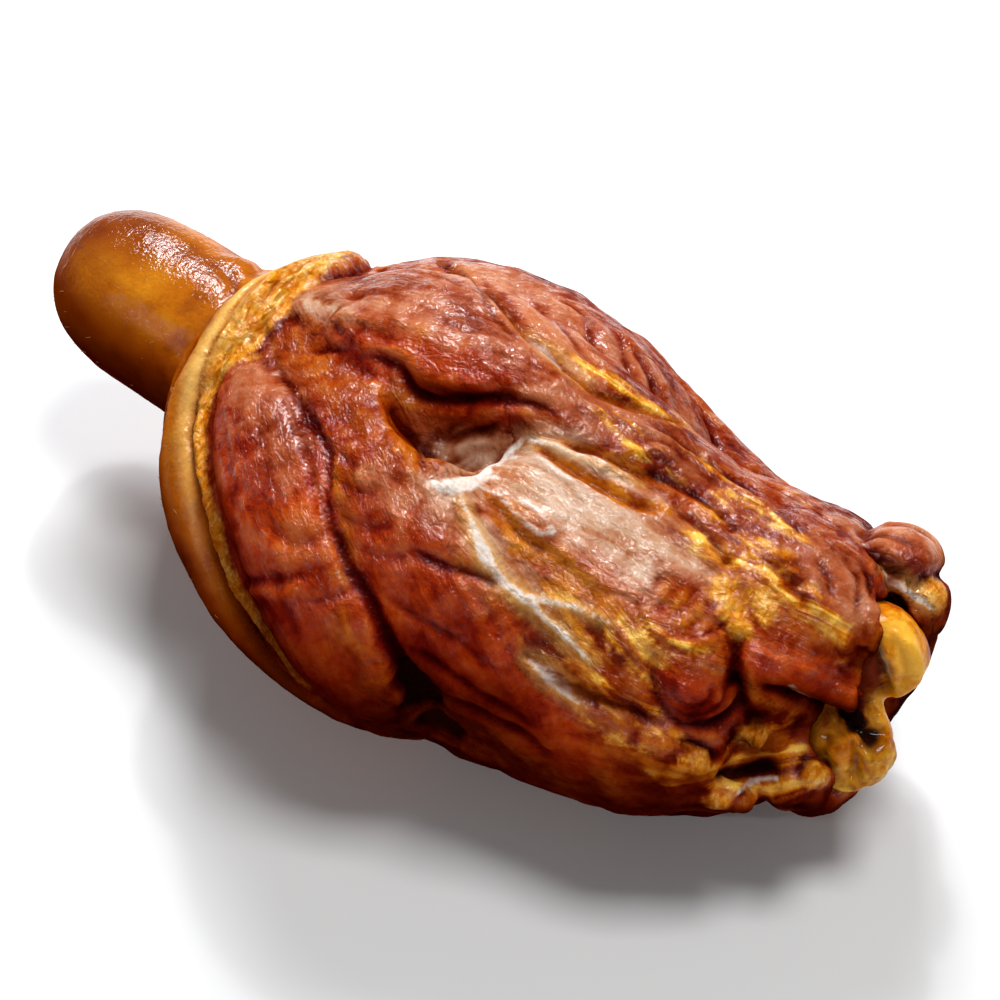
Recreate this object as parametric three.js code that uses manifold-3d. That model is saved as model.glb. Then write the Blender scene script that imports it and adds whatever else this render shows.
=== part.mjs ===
// A smoked pork knuckle: the skin-covered shank, a rolled edge of rind, and past it the bare
// muscles of the leg lying over one another, with the end of the leg bone showing.
// Millimetres, +Z up. X runs from the shank (-X) to the joint (+X). It stands on z = 0.
import * as THREE from "three";
import { mergeVertices } from "three/addons/utils/BufferGeometryUtils.js";
import Module from "manifold-3d";

const wasm = await Module();
wasm.setup();

// ---- sizes --------------------------------------------------------------------------

// The body of the leg, in sections square to X: place along, middle across, middle up,
// half the width and half the height.
const SECTIONS = [
  [-96, -2, 56, 12, 12],
  [-86, -2, 56, 18, 18],
  [-72, -2, 54, 28, 26],
  [-52, -6, 51, 46, 38],
  [-30, -8, 50, 58, 46],
  [-5, -9, 50, 63, 49],
  [25, -10, 49, 57, 46],
  [55, -11, 48, 47, 39],
  [85, -7, 46, 41, 36],
  [105, 6, 44, 33, 31],
  [116, 14, 44, 22, 22],
];
const CORE_SUNK = 4; // the flesh between the muscles lies this far below them
const FLOOR_CUT = 2.2; // what resting takes off the underside
const KNOB_WIDE = 44; // the end of the shank
const KNOB_LONG = 70;
const RIM_WIDE = 17; // the rolled edge of rind
const BONE_SHAFT = 17;
const GAP = 0.3; // between the meat and the bone

const MEAT_BROWN = 0x8a3a1c;
const BONE_CREAM = 0xd9a04a;

// ---- the body's own surface ---------------------------------------------------------

// The section at a place along the body, run smoothly from one to the next.
function section(x) {
  const last = SECTIONS.length - 1;
  let i = 0;
  while (i < last - 1 && x > SECTIONS[i + 1][0]) i++;
  const t = THREE.MathUtils.clamp((x - SECTIONS[i][0]) / (SECTIONS[i + 1][0] - SECTIONS[i][0]), 0, 1);
  const row = (n) => SECTIONS[THREE.MathUtils.clamp(n, 0, last)];
  const slope = (n, k) => {
    const before = row(n - 1);
    const after = row(n + 1);
    return (after[k] - before[k]) / (after[0] - before[0]);
  };
  const span = SECTIONS[i + 1][0] - SECTIONS[i][0];
  return [1, 2, 3, 4].map((k) => {
    const a = SECTIONS[i][k];
    const b = SECTIONS[i + 1][k];
    const da = slope(i, k) * span;
    const db = slope(i + 1, k) * span;
    const ease = t * t * (3 - 2 * t);
    return a + (b - a) * ease + da * t * (1 - t) ** 2 - db * t * t * (1 - t);
  });
}

// Straight out of the body's side. The angle is in degrees: 0 the far side, 90 up.
function outward(x, angle) {
  const [, , halfWide, halfHigh] = section(x);
  const turn = THREE.MathUtils.degToRad(angle);
  return new THREE.Vector3(0, Math.cos(turn) / halfWide, Math.sin(turn) / halfHigh).normalize();
}

// A point of the body's surface, raised by `lift`.
function place(x, angle, lift = 0) {
  const [y, z, halfWide, halfHigh] = section(x);
  const turn = THREE.MathUtils.degToRad(angle);
  const point = new THREE.Vector3(x, y + halfWide * Math.cos(turn), z + halfHigh * Math.sin(turn));
  return point.addScaledVector(outward(x, angle), lift);
}

// ---- solids -------------------------------------------------------------------------

// A closed geometry as a solid that can be joined and cut.
function solid(geometry) {
  const bare = geometry.clone();
  bare.deleteAttribute("normal");
  bare.deleteAttribute("uv");
  const merged = mergeVertices(bare, 1e-3);
  return new wasm.Manifold(
    new wasm.Mesh({
      numProp: 3,
      vertProperties: new Float32Array(merged.attributes.position.array),
      triVerts: new Uint32Array(merged.index.array),
    }),
  );
}

// The geometry of a joined solid.
function geometryOf(body) {
  const mesh = body.getMesh();
  const points = new Float32Array(mesh.numVert * 3);
  for (let i = 0; i < mesh.numVert; i++) {
    points.set(mesh.vertProperties.subarray(i * mesh.numProp, i * mesh.numProp + 3), i * 3);
  }
  const geometry = new THREE.BufferGeometry();
  geometry.setAttribute("position", new THREE.BufferAttribute(points, 3));
  geometry.setIndex(new THREE.BufferAttribute(new Uint32Array(mesh.triVerts), 1));
  geometry.computeVertexNormals();
  return geometry;
}

// A value run evenly through a short list as t goes from 0 to 1.
function along(list, t) {
  const place = Math.min(t, 0.9999) * (list.length - 1);
  const i = Math.floor(place);
  const ease = THREE.MathUtils.smoothstep(place - i, 0, 1);
  return THREE.MathUtils.lerp(list[i], list[i + 1], ease);
}

// A coordinate of the unit circle pushed out towards a square.
function fuller(value, square) {
  return Math.sign(value) * Math.abs(value) ** (2 / square);
}

// A rounded spindle about a curve: `wide` across and `thick` through as lists of sizes,
// `facing` its broad side, blunter ends for a `blunt` above 2 and flatter sides for a
// `square` above 2.
function spindle({ curve, facing, wide, thick, blunt = 2.4, square = 2, rings = 13, sides = 14, grow = 0 }) {
  const geometry = new THREE.SphereGeometry(1, sides, rings);
  const position = geometry.attributes.position;
  for (let i = 0; i < position.count; i++) {
    const height = THREE.MathUtils.clamp(position.getY(i), -1, 1);
    const round = Math.sqrt(Math.max(0, 1 - height * height));
    const t = (1 - Math.sign(height) * Math.abs(height) ** (2 / blunt)) / 2;
    const swell = round ** (2 / blunt);
    const across = round > 1e-6 ? fuller(position.getX(i) / round, square) : 0;
    const through = round > 1e-6 ? fuller(position.getZ(i) / round, square) : 0;
    const centre = curve.getPoint(t);
    const tangent = curve.getTangent(t);
    const up = facing(t);
    up.addScaledVector(tangent, -up.dot(tangent)).normalize();
    const side = up.clone().cross(tangent);
    const halfWide = (along(wide, t) / 2) * swell + (round > 1e-6 ? grow : 0);
    const halfThick = (along(thick, t) / 2) * swell + (round > 1e-6 ? grow : 0);
    centre.addScaledVector(side, across * halfWide);
    centre.addScaledVector(up, through * halfThick);
    centre.addScaledVector(tangent, -height * grow);
    position.setXYZ(i, centre.x, centre.y, centre.z);
  }
  return solid(geometry);
}

// A muscle that lies on the body. Its run is a short list of [x, angle, lift].
function muscle({ run, square = 2.6, ...shape }) {
  const curve = new THREE.CatmullRomCurve3(run.map((stop) => place(...stop)), false, "centripetal");
  const facing = (t) => outward(along(run.map((stop) => stop[0]), t), along(run.map((stop) => stop[1]), t));
  return spindle({ curve, facing, square, ...shape });
}

// A straight or gently bent spindle given by points.
function bar({ points, ...shape }) {
  const curve = new THREE.CatmullRomCurve3(points.map((p) => new THREE.Vector3(...p)), false, "centripetal");
  return spindle({ curve, facing: () => new THREE.Vector3(0, 0.001, 1), ...shape });
}

// The body itself, without its muscles.
function core() {
  const rings = 28;
  const sides = 26;
  const geometry = new THREE.SphereGeometry(1, sides, rings);
  const position = geometry.attributes.position;
  const first = SECTIONS[0][0];
  const last = SECTIONS[SECTIONS.length - 1][0];
  for (let i = 0; i < position.count; i++) {
    const height = THREE.MathUtils.clamp(position.getY(i), -1, 1);
    const x = first + ((1 - height) / 2) * (last - first);
    const angle = THREE.MathUtils.radToDeg(Math.atan2(position.getZ(i), position.getX(i)));
    const tip = 1 - Math.abs(height) ** 24;
    const skin = place(x, angle, -CORE_SUNK);
    const [y, z] = section(x);
    const middle = new THREE.Vector3(x, y, z);
    middle.lerp(skin, tip ** 0.5);
    position.setXYZ(i, middle.x, middle.y, middle.z);
  }
  return solid(geometry);
}

// The rolled edge of rind, a ring round the body. Its stops are [x, angle, lift].
function rim() {
  const stops = [
    [-56, 20, -9],
    [-52, 55, -8],
    [-57, 90, -6],
    [-60, 122, -6],
    [-58, 148, -7],
    [-46, 170, -7],
    [-22, 184, -8],
    [2, 196, -8],
    [16, 214, -9],
    [14, 240, -9],
    [-4, 270, -8],
    [-28, 300, -8],
    [-48, 335, -9],
  ];
  const path = new THREE.CatmullRomCurve3(stops.map((stop) => place(...stop)), true, "centripetal");
  const geometry = new THREE.TubeGeometry(path, 60, RIM_WIDE / 2, 8, true);
  return solid(geometry);
}

// ---- the meat -----------------------------------------------------------------------

const SHANK = { from: [-123, -1, 60], to: [-123 + KNOB_LONG, -4, 54] };

const MUSCLES = {
  besideRim: {
    run: [[-52, 112, -8], [-27, 129, -9], [-1, 150, -9], [13, 172, -9], [24, 204, -9]],
    wide: [25, 33, 35, 34, 27],
    thick: [22, 27, 30, 28, 22],
  },
  middleBand: {
    run: [[-44, 92, -12], [-9, 113, -10], [11, 126, -9], [27, 139, -9], [42, 156, -9], [54, 192, -9]],
    wide: [30, 36, 38, 38, 36, 30],
    thick: [24, 26, 28, 28, 28, 24],
    rings: 18,
  },
  topRidge: {
    run: [[-54, 74, -9], [-18, 80, -8], [8, 77, -8], [32, 73, -8], [57, 70, -9], [84, 74, -9], [104, 86, -11]],
    wide: [48, 48, 38, 33, 34, 36, 30],
    thick: [26, 30, 30, 26, 24, 28, 24],
    rings: 20,
  },
  nearShoulder: {
    run: [[66, 74, -10], [84, 80, -9], [107, 94, -9]],
    wide: [30, 36, 34],
    thick: [20, 26, 26],
    blunt: 3.2,
  },
  flatMuscle: {
    run: [[14, 109, -10], [30, 105, -9], [50, 104, -8], [72, 106, -8], [94, 112, -10]],
    wide: [26, 38, 44, 40, 28],
    thick: [16, 19, 20, 19, 16],
    blunt: 3,
  },
  farFlap: {
    run: [[-46, 50, -8], [-18, 42, -11], [10, 35, -11], [32, 31, -11], [52, 34, -11]],
    wide: [34, 44, 44, 40, 26],
    thick: [22, 26, 27, 26, 20],
  },
  fattySide: {
    run: [[34, 122, -10], [52, 132, -9], [71, 140, -8], [90, 150, -9]],
    wide: [26, 36, 38, 30],
    thick: [18, 20, 22, 18],
  },
  swirl: {
    run: [[64, 126, -9], [76, 134, -8], [88, 141, -8]],
    wide: [20, 27, 22],
    thick: [16, 21, 20],
  },
  tip: {
    run: [[72, 118, -9], [88, 120, -8], [100, 130, -6], [112, 146, -3]],
    wide: [26, 24, 17, 9],
    thick: [18, 19, 16, 9],
    blunt: 2,
    square: 2.2,
  },
  lowNear: {
    run: [[30, 190, -13], [56, 180, -11], [78, 172, -9], [98, 170, -9]],
    wide: [28, 36, 34, 24],
    thick: [24, 26, 26, 22],
  },
  underNear: {
    run: [[10, 214, -12], [42, 214, -13], [74, 213, -13], [98, 214, -13]],
    wide: [30, 38, 36, 24],
    thick: [24, 26, 26, 22],
  },
  underMiddle: {
    run: [[6, 262, -13], [42, 256, -10], [76, 256, -9], [104, 252, -10]],
    wide: [34, 44, 38, 24],
    thick: [26, 28, 28, 22],
  },
  underFar: {
    run: [[-24, 306, -13], [20, 300, -9], [64, 302, -9], [104, 304, -10]],
    wide: [34, 44, 38, 24],
    thick: [26, 28, 26, 20],
  },
  farSide: {
    run: [[-46, 350, -12], [0, 350, -8], [50, 350, -8], [102, 346, -9]],
    wide: [38, 48, 42, 26],
    thick: [24, 28, 26, 20],
  },
  farShoulder: {
    run: [[44, 34, -12], [70, 31, -11], [90, 35, -10], [107, 44, -10]],
    wide: [26, 32, 30, 22],
    thick: [20, 24, 24, 18],
  },
  endFlap: {
    run: [[90, 48, -8], [103, 56, -4], [112, 64, -1]],
    wide: [18, 23, 19],
    thick: [16, 19, 15],
  },
};

// Lumps of fat at the joint end: centre and half sizes.
const FAT_LUMPS = [
  [[109, 17, 61], [9, 10, 11]],
  [[105, -26, 42], [10, 8, 9]],
  [[105, -14, 31], [11, 14, 10]],
  [[92, -38, 44], [9, 8, 8]],
  [[103, 21, 40], [9, 12, 15]],
];

// Hollows between the muscles, as spindles cut out of them.
const HOLLOWS = [
  { run: [[-10, 103, -3], [8, 104, -4], [24, 93, -3]], wide: [9, 15, 12], thick: [10, 22, 12] },
  { run: [[84, 124, 0], [89, 130, 0], [92, 138, 0]], wide: [2, 3, 2], thick: [8, 12, 8] },
  { run: [[92, 158, 0], [97, 164, 0], [103, 168, 0]], wide: [5, 7, 5], thick: [14, 18, 12] },
];

function lump([centre, half], grow = 0) {
  const geometry = new THREE.SphereGeometry(1, 14, 10);
  geometry.scale(half[0] + grow, half[1] + grow, half[2] + grow);
  geometry.translate(...centre);
  return solid(geometry);
}

let meatBody = core();
for (const shape of Object.values(MUSCLES)) meatBody = meatBody.add(muscle(shape));
for (const shape of FAT_LUMPS) meatBody = meatBody.add(lump(shape));
meatBody = meatBody.add(rim());
for (const shape of HOLLOWS) meatBody = meatBody.subtract(muscle({ ...shape, rings: 10, sides: 12 }));
meatBody = meatBody.add(
  bar({
    points: [SHANK.from, SHANK.to],
    wide: [KNOB_WIDE, KNOB_WIDE, KNOB_WIDE + 3],
    thick: [KNOB_WIDE, KNOB_WIDE, KNOB_WIDE + 3],
    blunt: 3,
    rings: 16,
    sides: 20,
  }),
);

// ---- the bone -----------------------------------------------------------------------

// The shaft, then the two waxy knuckles of the joint.
const SHAFT = {
  points: [[-60, -4, 52], [0, -4, 50], [60, -2, 49], [108, 0, 50]],
  wide: [BONE_SHAFT - 2, BONE_SHAFT, BONE_SHAFT, BONE_SHAFT + 4, 32],
  thick: [BONE_SHAFT - 2, BONE_SHAFT, BONE_SHAFT, BONE_SHAFT + 4, 34],
  blunt: 5,
  rings: 12,
  sides: 14,
};
const KNUCKLES = [
  [[107, 2, 61], [13, 9, 13]],
  [[106, -11, 43], [15, 11, 13]],
];

function bone(grow) {
  let body = bar({ ...SHAFT, grow });
  for (const shape of KNUCKLES) body = body.add(lump(shape, grow));
  return body;
}

// ---- the knuckle --------------------------------------------------------------------

meatBody = meatBody.subtract(bone(GAP));
const ends = meatBody.boundingBox();
meatBody = meatBody.trimByPlane([0, 0, 1], ends.min[2] + FLOOR_CUT);

const boneBody = bone(0);
// The knuckle stands over the origin.
const box = meatBody.add(boneBody).boundingBox();
const shift = new THREE.Vector3(-(box.min[0] + box.max[0]) / 2, -(box.min[1] + box.max[1]) / 2, -box.min[2]);

const meat = new THREE.Mesh(
  geometryOf(meatBody),
  new THREE.MeshStandardMaterial({ color: MEAT_BROWN, roughness: 0.4 }),
);
meat.name = "smoked_meat";
meat.position.copy(shift);

const joint = new THREE.Mesh(
  geometryOf(boneBody),
  new THREE.MeshStandardMaterial({ color: BONE_CREAM, roughness: 0.35 }),
);
joint.name = "joint_bone";
joint.position.copy(shift);

const knuckle = new THREE.Group();
knuckle.name = "smoked_pork_knuckle";
knuckle.add(meat, joint);
export default knuckle;
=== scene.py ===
# %% [markdown]
# # A smoked pork knuckle
# A pork knuckle is the lower leg with its joint, cured and smoked until its skin turns
# to amber leather and its meat to dark red. The frame is a packed CAD model with the
# right form: one piece of meat, and the bone that runs through it. Blender's work is
# the surface. The rind, the fat, the folds of the muscles, their fibres and the wet
# smoked shine all go on here, in metres, in the same frame.

# %% Load the frame
import math

import bmesh
import bpy
import numpy as np
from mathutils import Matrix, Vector
from mathutils.bvhtree import BVHTree
from mathutils.kdtree import KDTree


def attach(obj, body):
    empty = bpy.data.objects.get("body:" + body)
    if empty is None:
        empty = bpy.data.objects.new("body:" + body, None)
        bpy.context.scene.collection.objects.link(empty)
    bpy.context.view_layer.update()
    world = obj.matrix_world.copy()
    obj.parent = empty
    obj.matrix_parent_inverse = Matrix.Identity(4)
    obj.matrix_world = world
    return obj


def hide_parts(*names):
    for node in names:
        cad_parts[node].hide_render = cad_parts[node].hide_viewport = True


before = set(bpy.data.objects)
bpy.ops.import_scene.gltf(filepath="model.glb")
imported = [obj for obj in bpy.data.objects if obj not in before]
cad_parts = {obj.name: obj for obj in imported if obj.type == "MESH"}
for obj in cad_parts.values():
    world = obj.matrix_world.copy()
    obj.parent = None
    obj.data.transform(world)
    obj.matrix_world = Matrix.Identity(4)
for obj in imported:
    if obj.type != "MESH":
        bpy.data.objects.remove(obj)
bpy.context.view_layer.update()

MM = 0.001

# %% [markdown]
# ## The camera
# The knuckle is seen from above its near side, with the shank at the far left. A wide
# lens close up would swell the end that is nearest, so a long lens stands a little over
# half a metre away and keeps the shapes calm.

# %% Camera
AZIMUTH = math.radians(34)
ELEVATION = math.radians(50)
TARGET = Vector((8.3, 8.1, 43.8)) * MM
DISTANCE = 0.574

towards = Vector((
    math.sin(AZIMUTH) * math.cos(ELEVATION),
    -math.cos(AZIMUTH) * math.cos(ELEVATION),
    math.sin(ELEVATION),
))
bpy.ops.object.camera_add(location=TARGET + towards * DISTANCE)
camera = bpy.context.object
camera.name = "camera"
camera.rotation_mode = "QUATERNION"
camera.rotation_quaternion = (-towards).to_track_quat("-Z", "Y")
camera.data.lens = 85
camera.data.sensor_width = 36
camera.data.clip_start = 0.01
bpy.context.scene.camera = camera
print("camera at", [round(v, 3) for v in camera.location], "lens", camera.data.lens, "mm")

# %% [markdown]
# ## The floor and the light
# Wet food is known by its glints. One lamp in front would light it flat and hide them,
# so the largest soft lamp stands behind and above, as a window does in a small food
# studio. Then the wet tops shine and the sides towards us fall dark. Two small lamps
# on the near side draw glints there, and the pale floor fills in from below.

# %% The floor
FLOOR_SIZE = 6
bpy.ops.object.select_all(action="DESELECT")
bpy.ops.mesh.primitive_plane_add(size=FLOOR_SIZE)
floor = bpy.context.object
floor.name = "floor"
floor_paint = bpy.data.materials.new("pale_floor")
floor_paint.use_nodes = True
floor_shader = floor_paint.node_tree.nodes["Principled BSDF"]
floor_shader.inputs["Base Color"].default_value = (0.86, 0.86, 0.86, 1)
floor_shader.inputs["Roughness"].default_value = 0.9
floor_shader.inputs["Specular IOR Level"].default_value = 0.1
floor.data.materials.append(floor_paint)
print("floor", FLOOR_SIZE, "m wide")


# %% The lamps and the sky
def lamp(name, place, aim, size, power, colour=(1, 1, 1)):
    """A square area lamp at a place, turned to face another."""
    bpy.ops.object.light_add(type="AREA", location=place)
    light = bpy.context.object
    light.name = name
    light.data.size = size
    light.data.energy = power
    light.data.color = colour
    aim_line = Vector(aim) - Vector(place)
    light.rotation_mode = "QUATERNION"
    light.rotation_quaternion = aim_line.to_track_quat("-Z", "Y")
    return light


middle = (0, 0, 0.04)
lamp("window", (-0.38, 0.58, 0.85), middle, 0.36, 10.0, (0.95, 0.97, 1.0))
lamp("overhead", (0.20, 0.10, 1.1), middle, 0.30, 6.5)
lamp("window_sun", (-0.30, 0.55, 0.90), middle, 0.06, 2.0)
lamp("near_left", (-0.45, -0.85, 0.65), middle, 0.05, 1.0)
lamp("near_right", (0.9, -1.0, 0.6), middle, 0.06, 1.5)
sky = bpy.data.worlds.new("studio")
bpy.context.scene.world = sky
sky.use_nodes = True
sky.node_tree.nodes["Background"].inputs["Color"].default_value = (1, 1, 1, 1)
sky.node_tree.nodes["Background"].inputs["Strength"].default_value = 0.15
bpy.context.scene.view_settings.view_transform = "Standard"
lamps = [piece for piece in bpy.data.objects if piece.type == "LIGHT"]
print("lamps", {light.name: round(light.data.energy, 1) for light in lamps})

# %% [markdown]
# ## The meat's mesh
# The CAD piece has the true form in large facets. Subdividing the facets would keep
# their uneven corners, so a copy of it is merged, rebuilt as an even mesh of small
# squares and smoothed. That gives a soft body to carve as a sculptor would. Every part
# of this needs the loose corners joined first, because the CAD mesh comes as separate
# triangles.

# %% Copy a CAD piece
SAME_PLACE = 0.01 * MM


def merged_copy(node, name):
    """A copy of a CAD piece, which stands alone and has its corners joined."""
    bpy.ops.object.select_all(action="DESELECT")
    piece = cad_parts[node].copy()
    piece.data = piece.data.copy()
    for key in list(piece.keys()):
        del piece[key]
    piece.parent = None
    piece.name = name
    bpy.context.scene.collection.objects.link(piece)
    bpy.context.view_layer.objects.active = piece
    piece.select_set(True)
    bpy.ops.object.mode_set(mode="EDIT")
    bpy.ops.mesh.select_all(action="SELECT")
    bpy.ops.mesh.remove_doubles(threshold=SAME_PLACE)
    bpy.ops.object.mode_set(mode="OBJECT")
    return piece


meat = merged_copy("smoked_meat", "knuckle_meat")
print("corners of the CAD meat", len(meat.data.vertices))

# %% [markdown]
# The lines where two muscles meet are folds in the CAD piece. They are read off it now,
# because smoothing blurs them, and pressed back in later.

# %% Find the lines where muscles meet
SEAM_STEP = 1.0 * MM
LEAST_FOLD = 18
shape = bmesh.new()
shape.from_mesh(meat.data)
seam_points = []
seam_angles = []
for edge in shape.edges:
    if len(edge.link_faces) != 2:
        continue
    fold = -math.degrees(edge.calc_face_angle_signed(0))
    if fold < LEAST_FOLD:
        continue
    start, end = edge.verts[0].co, edge.verts[1].co
    steps = max(1, int((end - start).length / SEAM_STEP))
    for step in range(steps + 1):
        seam_points.append(start.lerp(end, step / steps))
        seam_angles.append(fold)
shape.free()
seams = KDTree(len(seam_points))
for number, point in enumerate(seam_points):
    seams.insert(point, number)
seams.balance()
print("points on seams", len(seam_points))


# %% Rebuild it as an even mesh
def finish_modifier(kind, **values):
    """Adds a modifier to the active object and applies it."""
    made = bpy.context.object.modifiers.new(kind.lower(), kind)
    for name, value in values.items():
        setattr(made, name, value)
    bpy.ops.object.modifier_apply(modifier=made.name)


def even_mesh(square, smoothings):
    """Rebuilds the active object from squares of a size, smooths it and splits them."""
    finish_modifier("REMESH", mode="VOXEL", voxel_size=square)
    finish_modifier("SMOOTH", factor=0.5, iterations=smoothings)
    finish_modifier("SUBSURF", levels=1, render_levels=1)
    bpy.context.object.data.materials.clear()


even_mesh(2.2 * MM, smoothings=9)
print("faces", len(meat.data.polygons))


# %% [markdown]
# ## The points as a table
# A muscle's folds are not boxes or tubes, so edit mode has no tool that makes them. A
# sculptor would stroke them in by hand, and the same can be done in numbers: the points
# are read into a table, in millimetres, moved there, and written back once.

# %% The points, and which way is out
def points_of(mesh):
    """A mesh's points in millimetres."""
    table = np.empty(len(mesh.vertices) * 3, np.float32)
    mesh.vertices.foreach_get("co", table)
    return table.reshape(-1, 3).astype(float) / MM


def normals_of(table, quads):
    """Outward directions at the points."""
    across = table[quads[:, 2]] - table[quads[:, 0]]
    other = table[quads[:, 3]] - table[quads[:, 1]]
    faces = np.cross(across, other)
    total = np.zeros_like(table)
    for corner in range(4):
        for axis in range(3):
            total[:, axis] += np.bincount(quads[:, corner], faces[:, axis], len(table))
    return total / np.maximum(np.linalg.norm(total, axis=1), 1e-9)[:, None]


def relax(table, quads, share, times):
    """Eases the points towards the middle of their neighbours."""
    for _ in range(times):
        total = np.zeros_like(table)
        count = np.zeros(len(table))
        for corner in range(4):
            for other in (quads[:, (corner + 1) % 4], quads[:, (corner + 3) % 4]):
                count += np.bincount(quads[:, corner], minlength=len(table))
                for axis in range(3):
                    total[:, axis] += np.bincount(
                        quads[:, corner], table[other, axis], len(table),
                    )
        table = table + share * (total / count[:, None] - table)
    return table


meat_points = points_of(meat.data)
print(
    "the meat's points reach from", meat_points.min(0).round(1), "to",
    meat_points.max(0).round(1),
)

# %% [markdown]
# Places on the meat are named as a sculptor would point at them: how far along the leg
# in millimetres, and at which angle round it in degrees. 0 is the far side, 90 the top,
# 180 the near side and 270 underneath.

# %% The leg's middle line
LEG_X = [-125, -100, -80, -60, -35, -5, 25, 55, 85, 105, 125]
LEG_Y = [7, 7, 5, 3, 0, -1, -2, -2, 2, 10, 14]
LEG_Z = [58, 56, 52, 49, 47, 47, 46, 45, 43, 41, 41]


def leg_middle(x):
    """The leg's middle line at a place along it."""
    return np.stack([x, np.interp(x, LEG_X, LEG_Y), np.interp(x, LEG_X, LEG_Z)], -1)


print("the leg's middle is", leg_middle(0), "at x = 0")

# %% [markdown]
# ## Noise
# Meat is never even. Moving each point at random would give sandpaper, so this makes
# smooth lumps of any size instead: random arrows stand at the corners of a grid, and
# each point takes a blend of the eight round it. It gives the same lumps every time, and
# stretched points give stretched lumps.

# %% Smooth lumps
CORNERS = [(i, j, k) for i in (0, 1) for j in (0, 1) for k in (0, 1)]
ARROWS = np.random.default_rng(11).normal(size=(4096, 3))
ARROWS /= np.linalg.norm(ARROWS, axis=1)[:, None]
CORNER_KEYS = np.array((73856093, 19349663, 83492791))
TURNS_APART = 17.3
FULL_RANGE = 1.7


def lumps(points, size, turn=0):
    """Smooth lumps of a size, from about -1 to 1."""
    at = points / size + turn * TURNS_APART
    cell = np.floor(at).astype(np.int64)
    inside = at - cell
    ease = inside**3 * (inside * (inside * 6 - 15) + 10)
    total = np.zeros(len(at))
    for corner in CORNERS:
        key = (cell + corner) @ CORNER_KEYS
        arrow = ARROWS[(key ^ (key >> 15)) & (len(ARROWS) - 1)]
        weight = np.prod(np.where(corner, ease, 1 - ease), axis=1)
        total += weight * ((inside - corner) * arrow).sum(1)
    return total * FULL_RANGE


def ramp(value, start, end):
    """0 before start, 1 after end, and a smooth rise between."""
    t = np.clip((value - start) / (end - start), 0, 1)
    return t * t * (3 - 2 * t)


def spread(values, along):
    """A value, or a list of values spaced evenly along a line, at places along it."""
    values = np.atleast_1d(values)
    return np.interp(along, np.linspace(0, 1, len(values)), values)


sample = lumps(meat_points, 10)
print("lumps run from", round(float(sample.min()), 2), "to", round(float(sample.max()), 2))

# %% [markdown]
# ## Carving tools
# Each tool follows a line given by a few places on the surface. The line is drawn out
# smoothly between them, and every tool first asks which points lie beside it. The tools
# are built up in four steps: a skin that can be asked where things are, lines over it,
# marks on it, and clay that can be pressed and raised.

# %% A skin that knows its places
WELL_OUTSIDE, NEAR_SKIN = 150, 30


class Skin:
    """A mesh's points, and ways to find places among them."""

    def __init__(self, mesh):
        self.mesh = mesh
        self.skin = points_of(mesh)
        self.quads = np.array([list(face.vertices) for face in mesh.polygons])
        self.outward = normals_of(self.skin, self.quads)
        self.body, self.body_outward = self.skin.copy(), self.outward.copy()
        self.tree = BVHTree.FromPolygons(
            [Vector(point) for point in self.body], self.quads.tolist(),
        )

    def find(self, place):
        """The point of the surface at (x, angle), or nearest to (x, y, z)."""
        if len(place) == 3:
            return np.array(self.tree.find_nearest(Vector(place))[0])
        x, angle = place
        way = Vector((0, math.cos(math.radians(angle)), math.sin(math.radians(angle))))
        start = Vector(leg_middle(x))
        hit = self.tree.ray_cast(start + way * WELL_OUTSIDE, -way)[0]
        if hit is None:
            hit = self.tree.find_nearest(start + way * NEAR_SKIN)[0]
        return np.array(hit)


print("a skin's tools", [name for name in vars(Skin) if not name.startswith("_")])

# %% [markdown]
# A line is drawn as a curve through its places and dropped onto the skin, point by point.
# The points beside it are all those nearer than a reach. Round a sharp corner of the
# meat a point can be near the line and yet lie on another face, so one that looks the
# other way counts as further off.

# %% Lines over it
ROUND_THE_CORNER = 10


class LinedSkin(Skin):
    """A skin that lines can be drawn on."""

    def trail(self, places):
        """A smooth line over the surface through some places, a point every millimetre."""
        knots = np.array([self.find(place) for place in places])
        knots = np.vstack([2 * knots[0] - knots[1], knots, 2 * knots[-1] - knots[-2]])
        line = []
        for before, start, end, after in zip(knots, knots[1:], knots[2:], knots[3:]):
            steps = max(2, int(np.linalg.norm(end - start)))
            t = np.arange(steps)[:, None] / steps
            line.append(
                start
                + (end - before) * t / 2
                + (2 * before - 5 * start + 4 * end - after) * t**2 / 2
                + (3 * start - before - 3 * end + after) * t**3 / 2
            )
        line = np.vstack(line + [knots[-2:-1]])
        found = [self.tree.find_nearest(Vector(point)) for point in line]
        return np.array([hit[0] for hit in found]), np.array([hit[1] for hit in found])

    def beside(self, places, reach):
        """The points near a line: which, how far off it, how far along (0 to 1), and
        how far to its left."""
        line, out = self.trail(places)
        pace = np.gradient(line, axis=0)
        step = np.linalg.norm(pace, axis=1)
        pace /= np.maximum(step, 1e-9)[:, None]
        left = np.cross(out, pace)
        run = np.cumsum(step)
        inside = np.all(
            (self.body > line.min(0) - reach) & (self.body < line.max(0) + reach), axis=1,
        )
        which = np.flatnonzero(inside)
        near = self.body[which]
        far = (near**2).sum(1)[:, None] + (line**2).sum(1)[None] - 2 * near @ line.T
        closest = far.argmin(1)
        gap = near - line[closest]
        forward = (gap * pace[closest]).sum(1)
        back_limit = np.where(closest == 0, 0, -1)
        front_limit = np.where(closest == len(line) - 1, 0, 1)
        slide = np.clip(forward, back_limit, front_limit)
        away = np.sqrt(np.maximum((gap**2).sum(1) - slide**2, 0))
        along = np.clip((run[closest] + slide - run[0]) / max(run[-1] - run[0], 1e-9), 0, 1)
        side = (gap * left[closest]).sum(1)
        facing = (self.body_outward[which] * out[closest]).sum(1)
        away += ROUND_THE_CORNER * ramp(facing, 0.3, -0.4)
        keep = away < reach
        return which[keep], away[keep], along[keep], side[keep]


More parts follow.
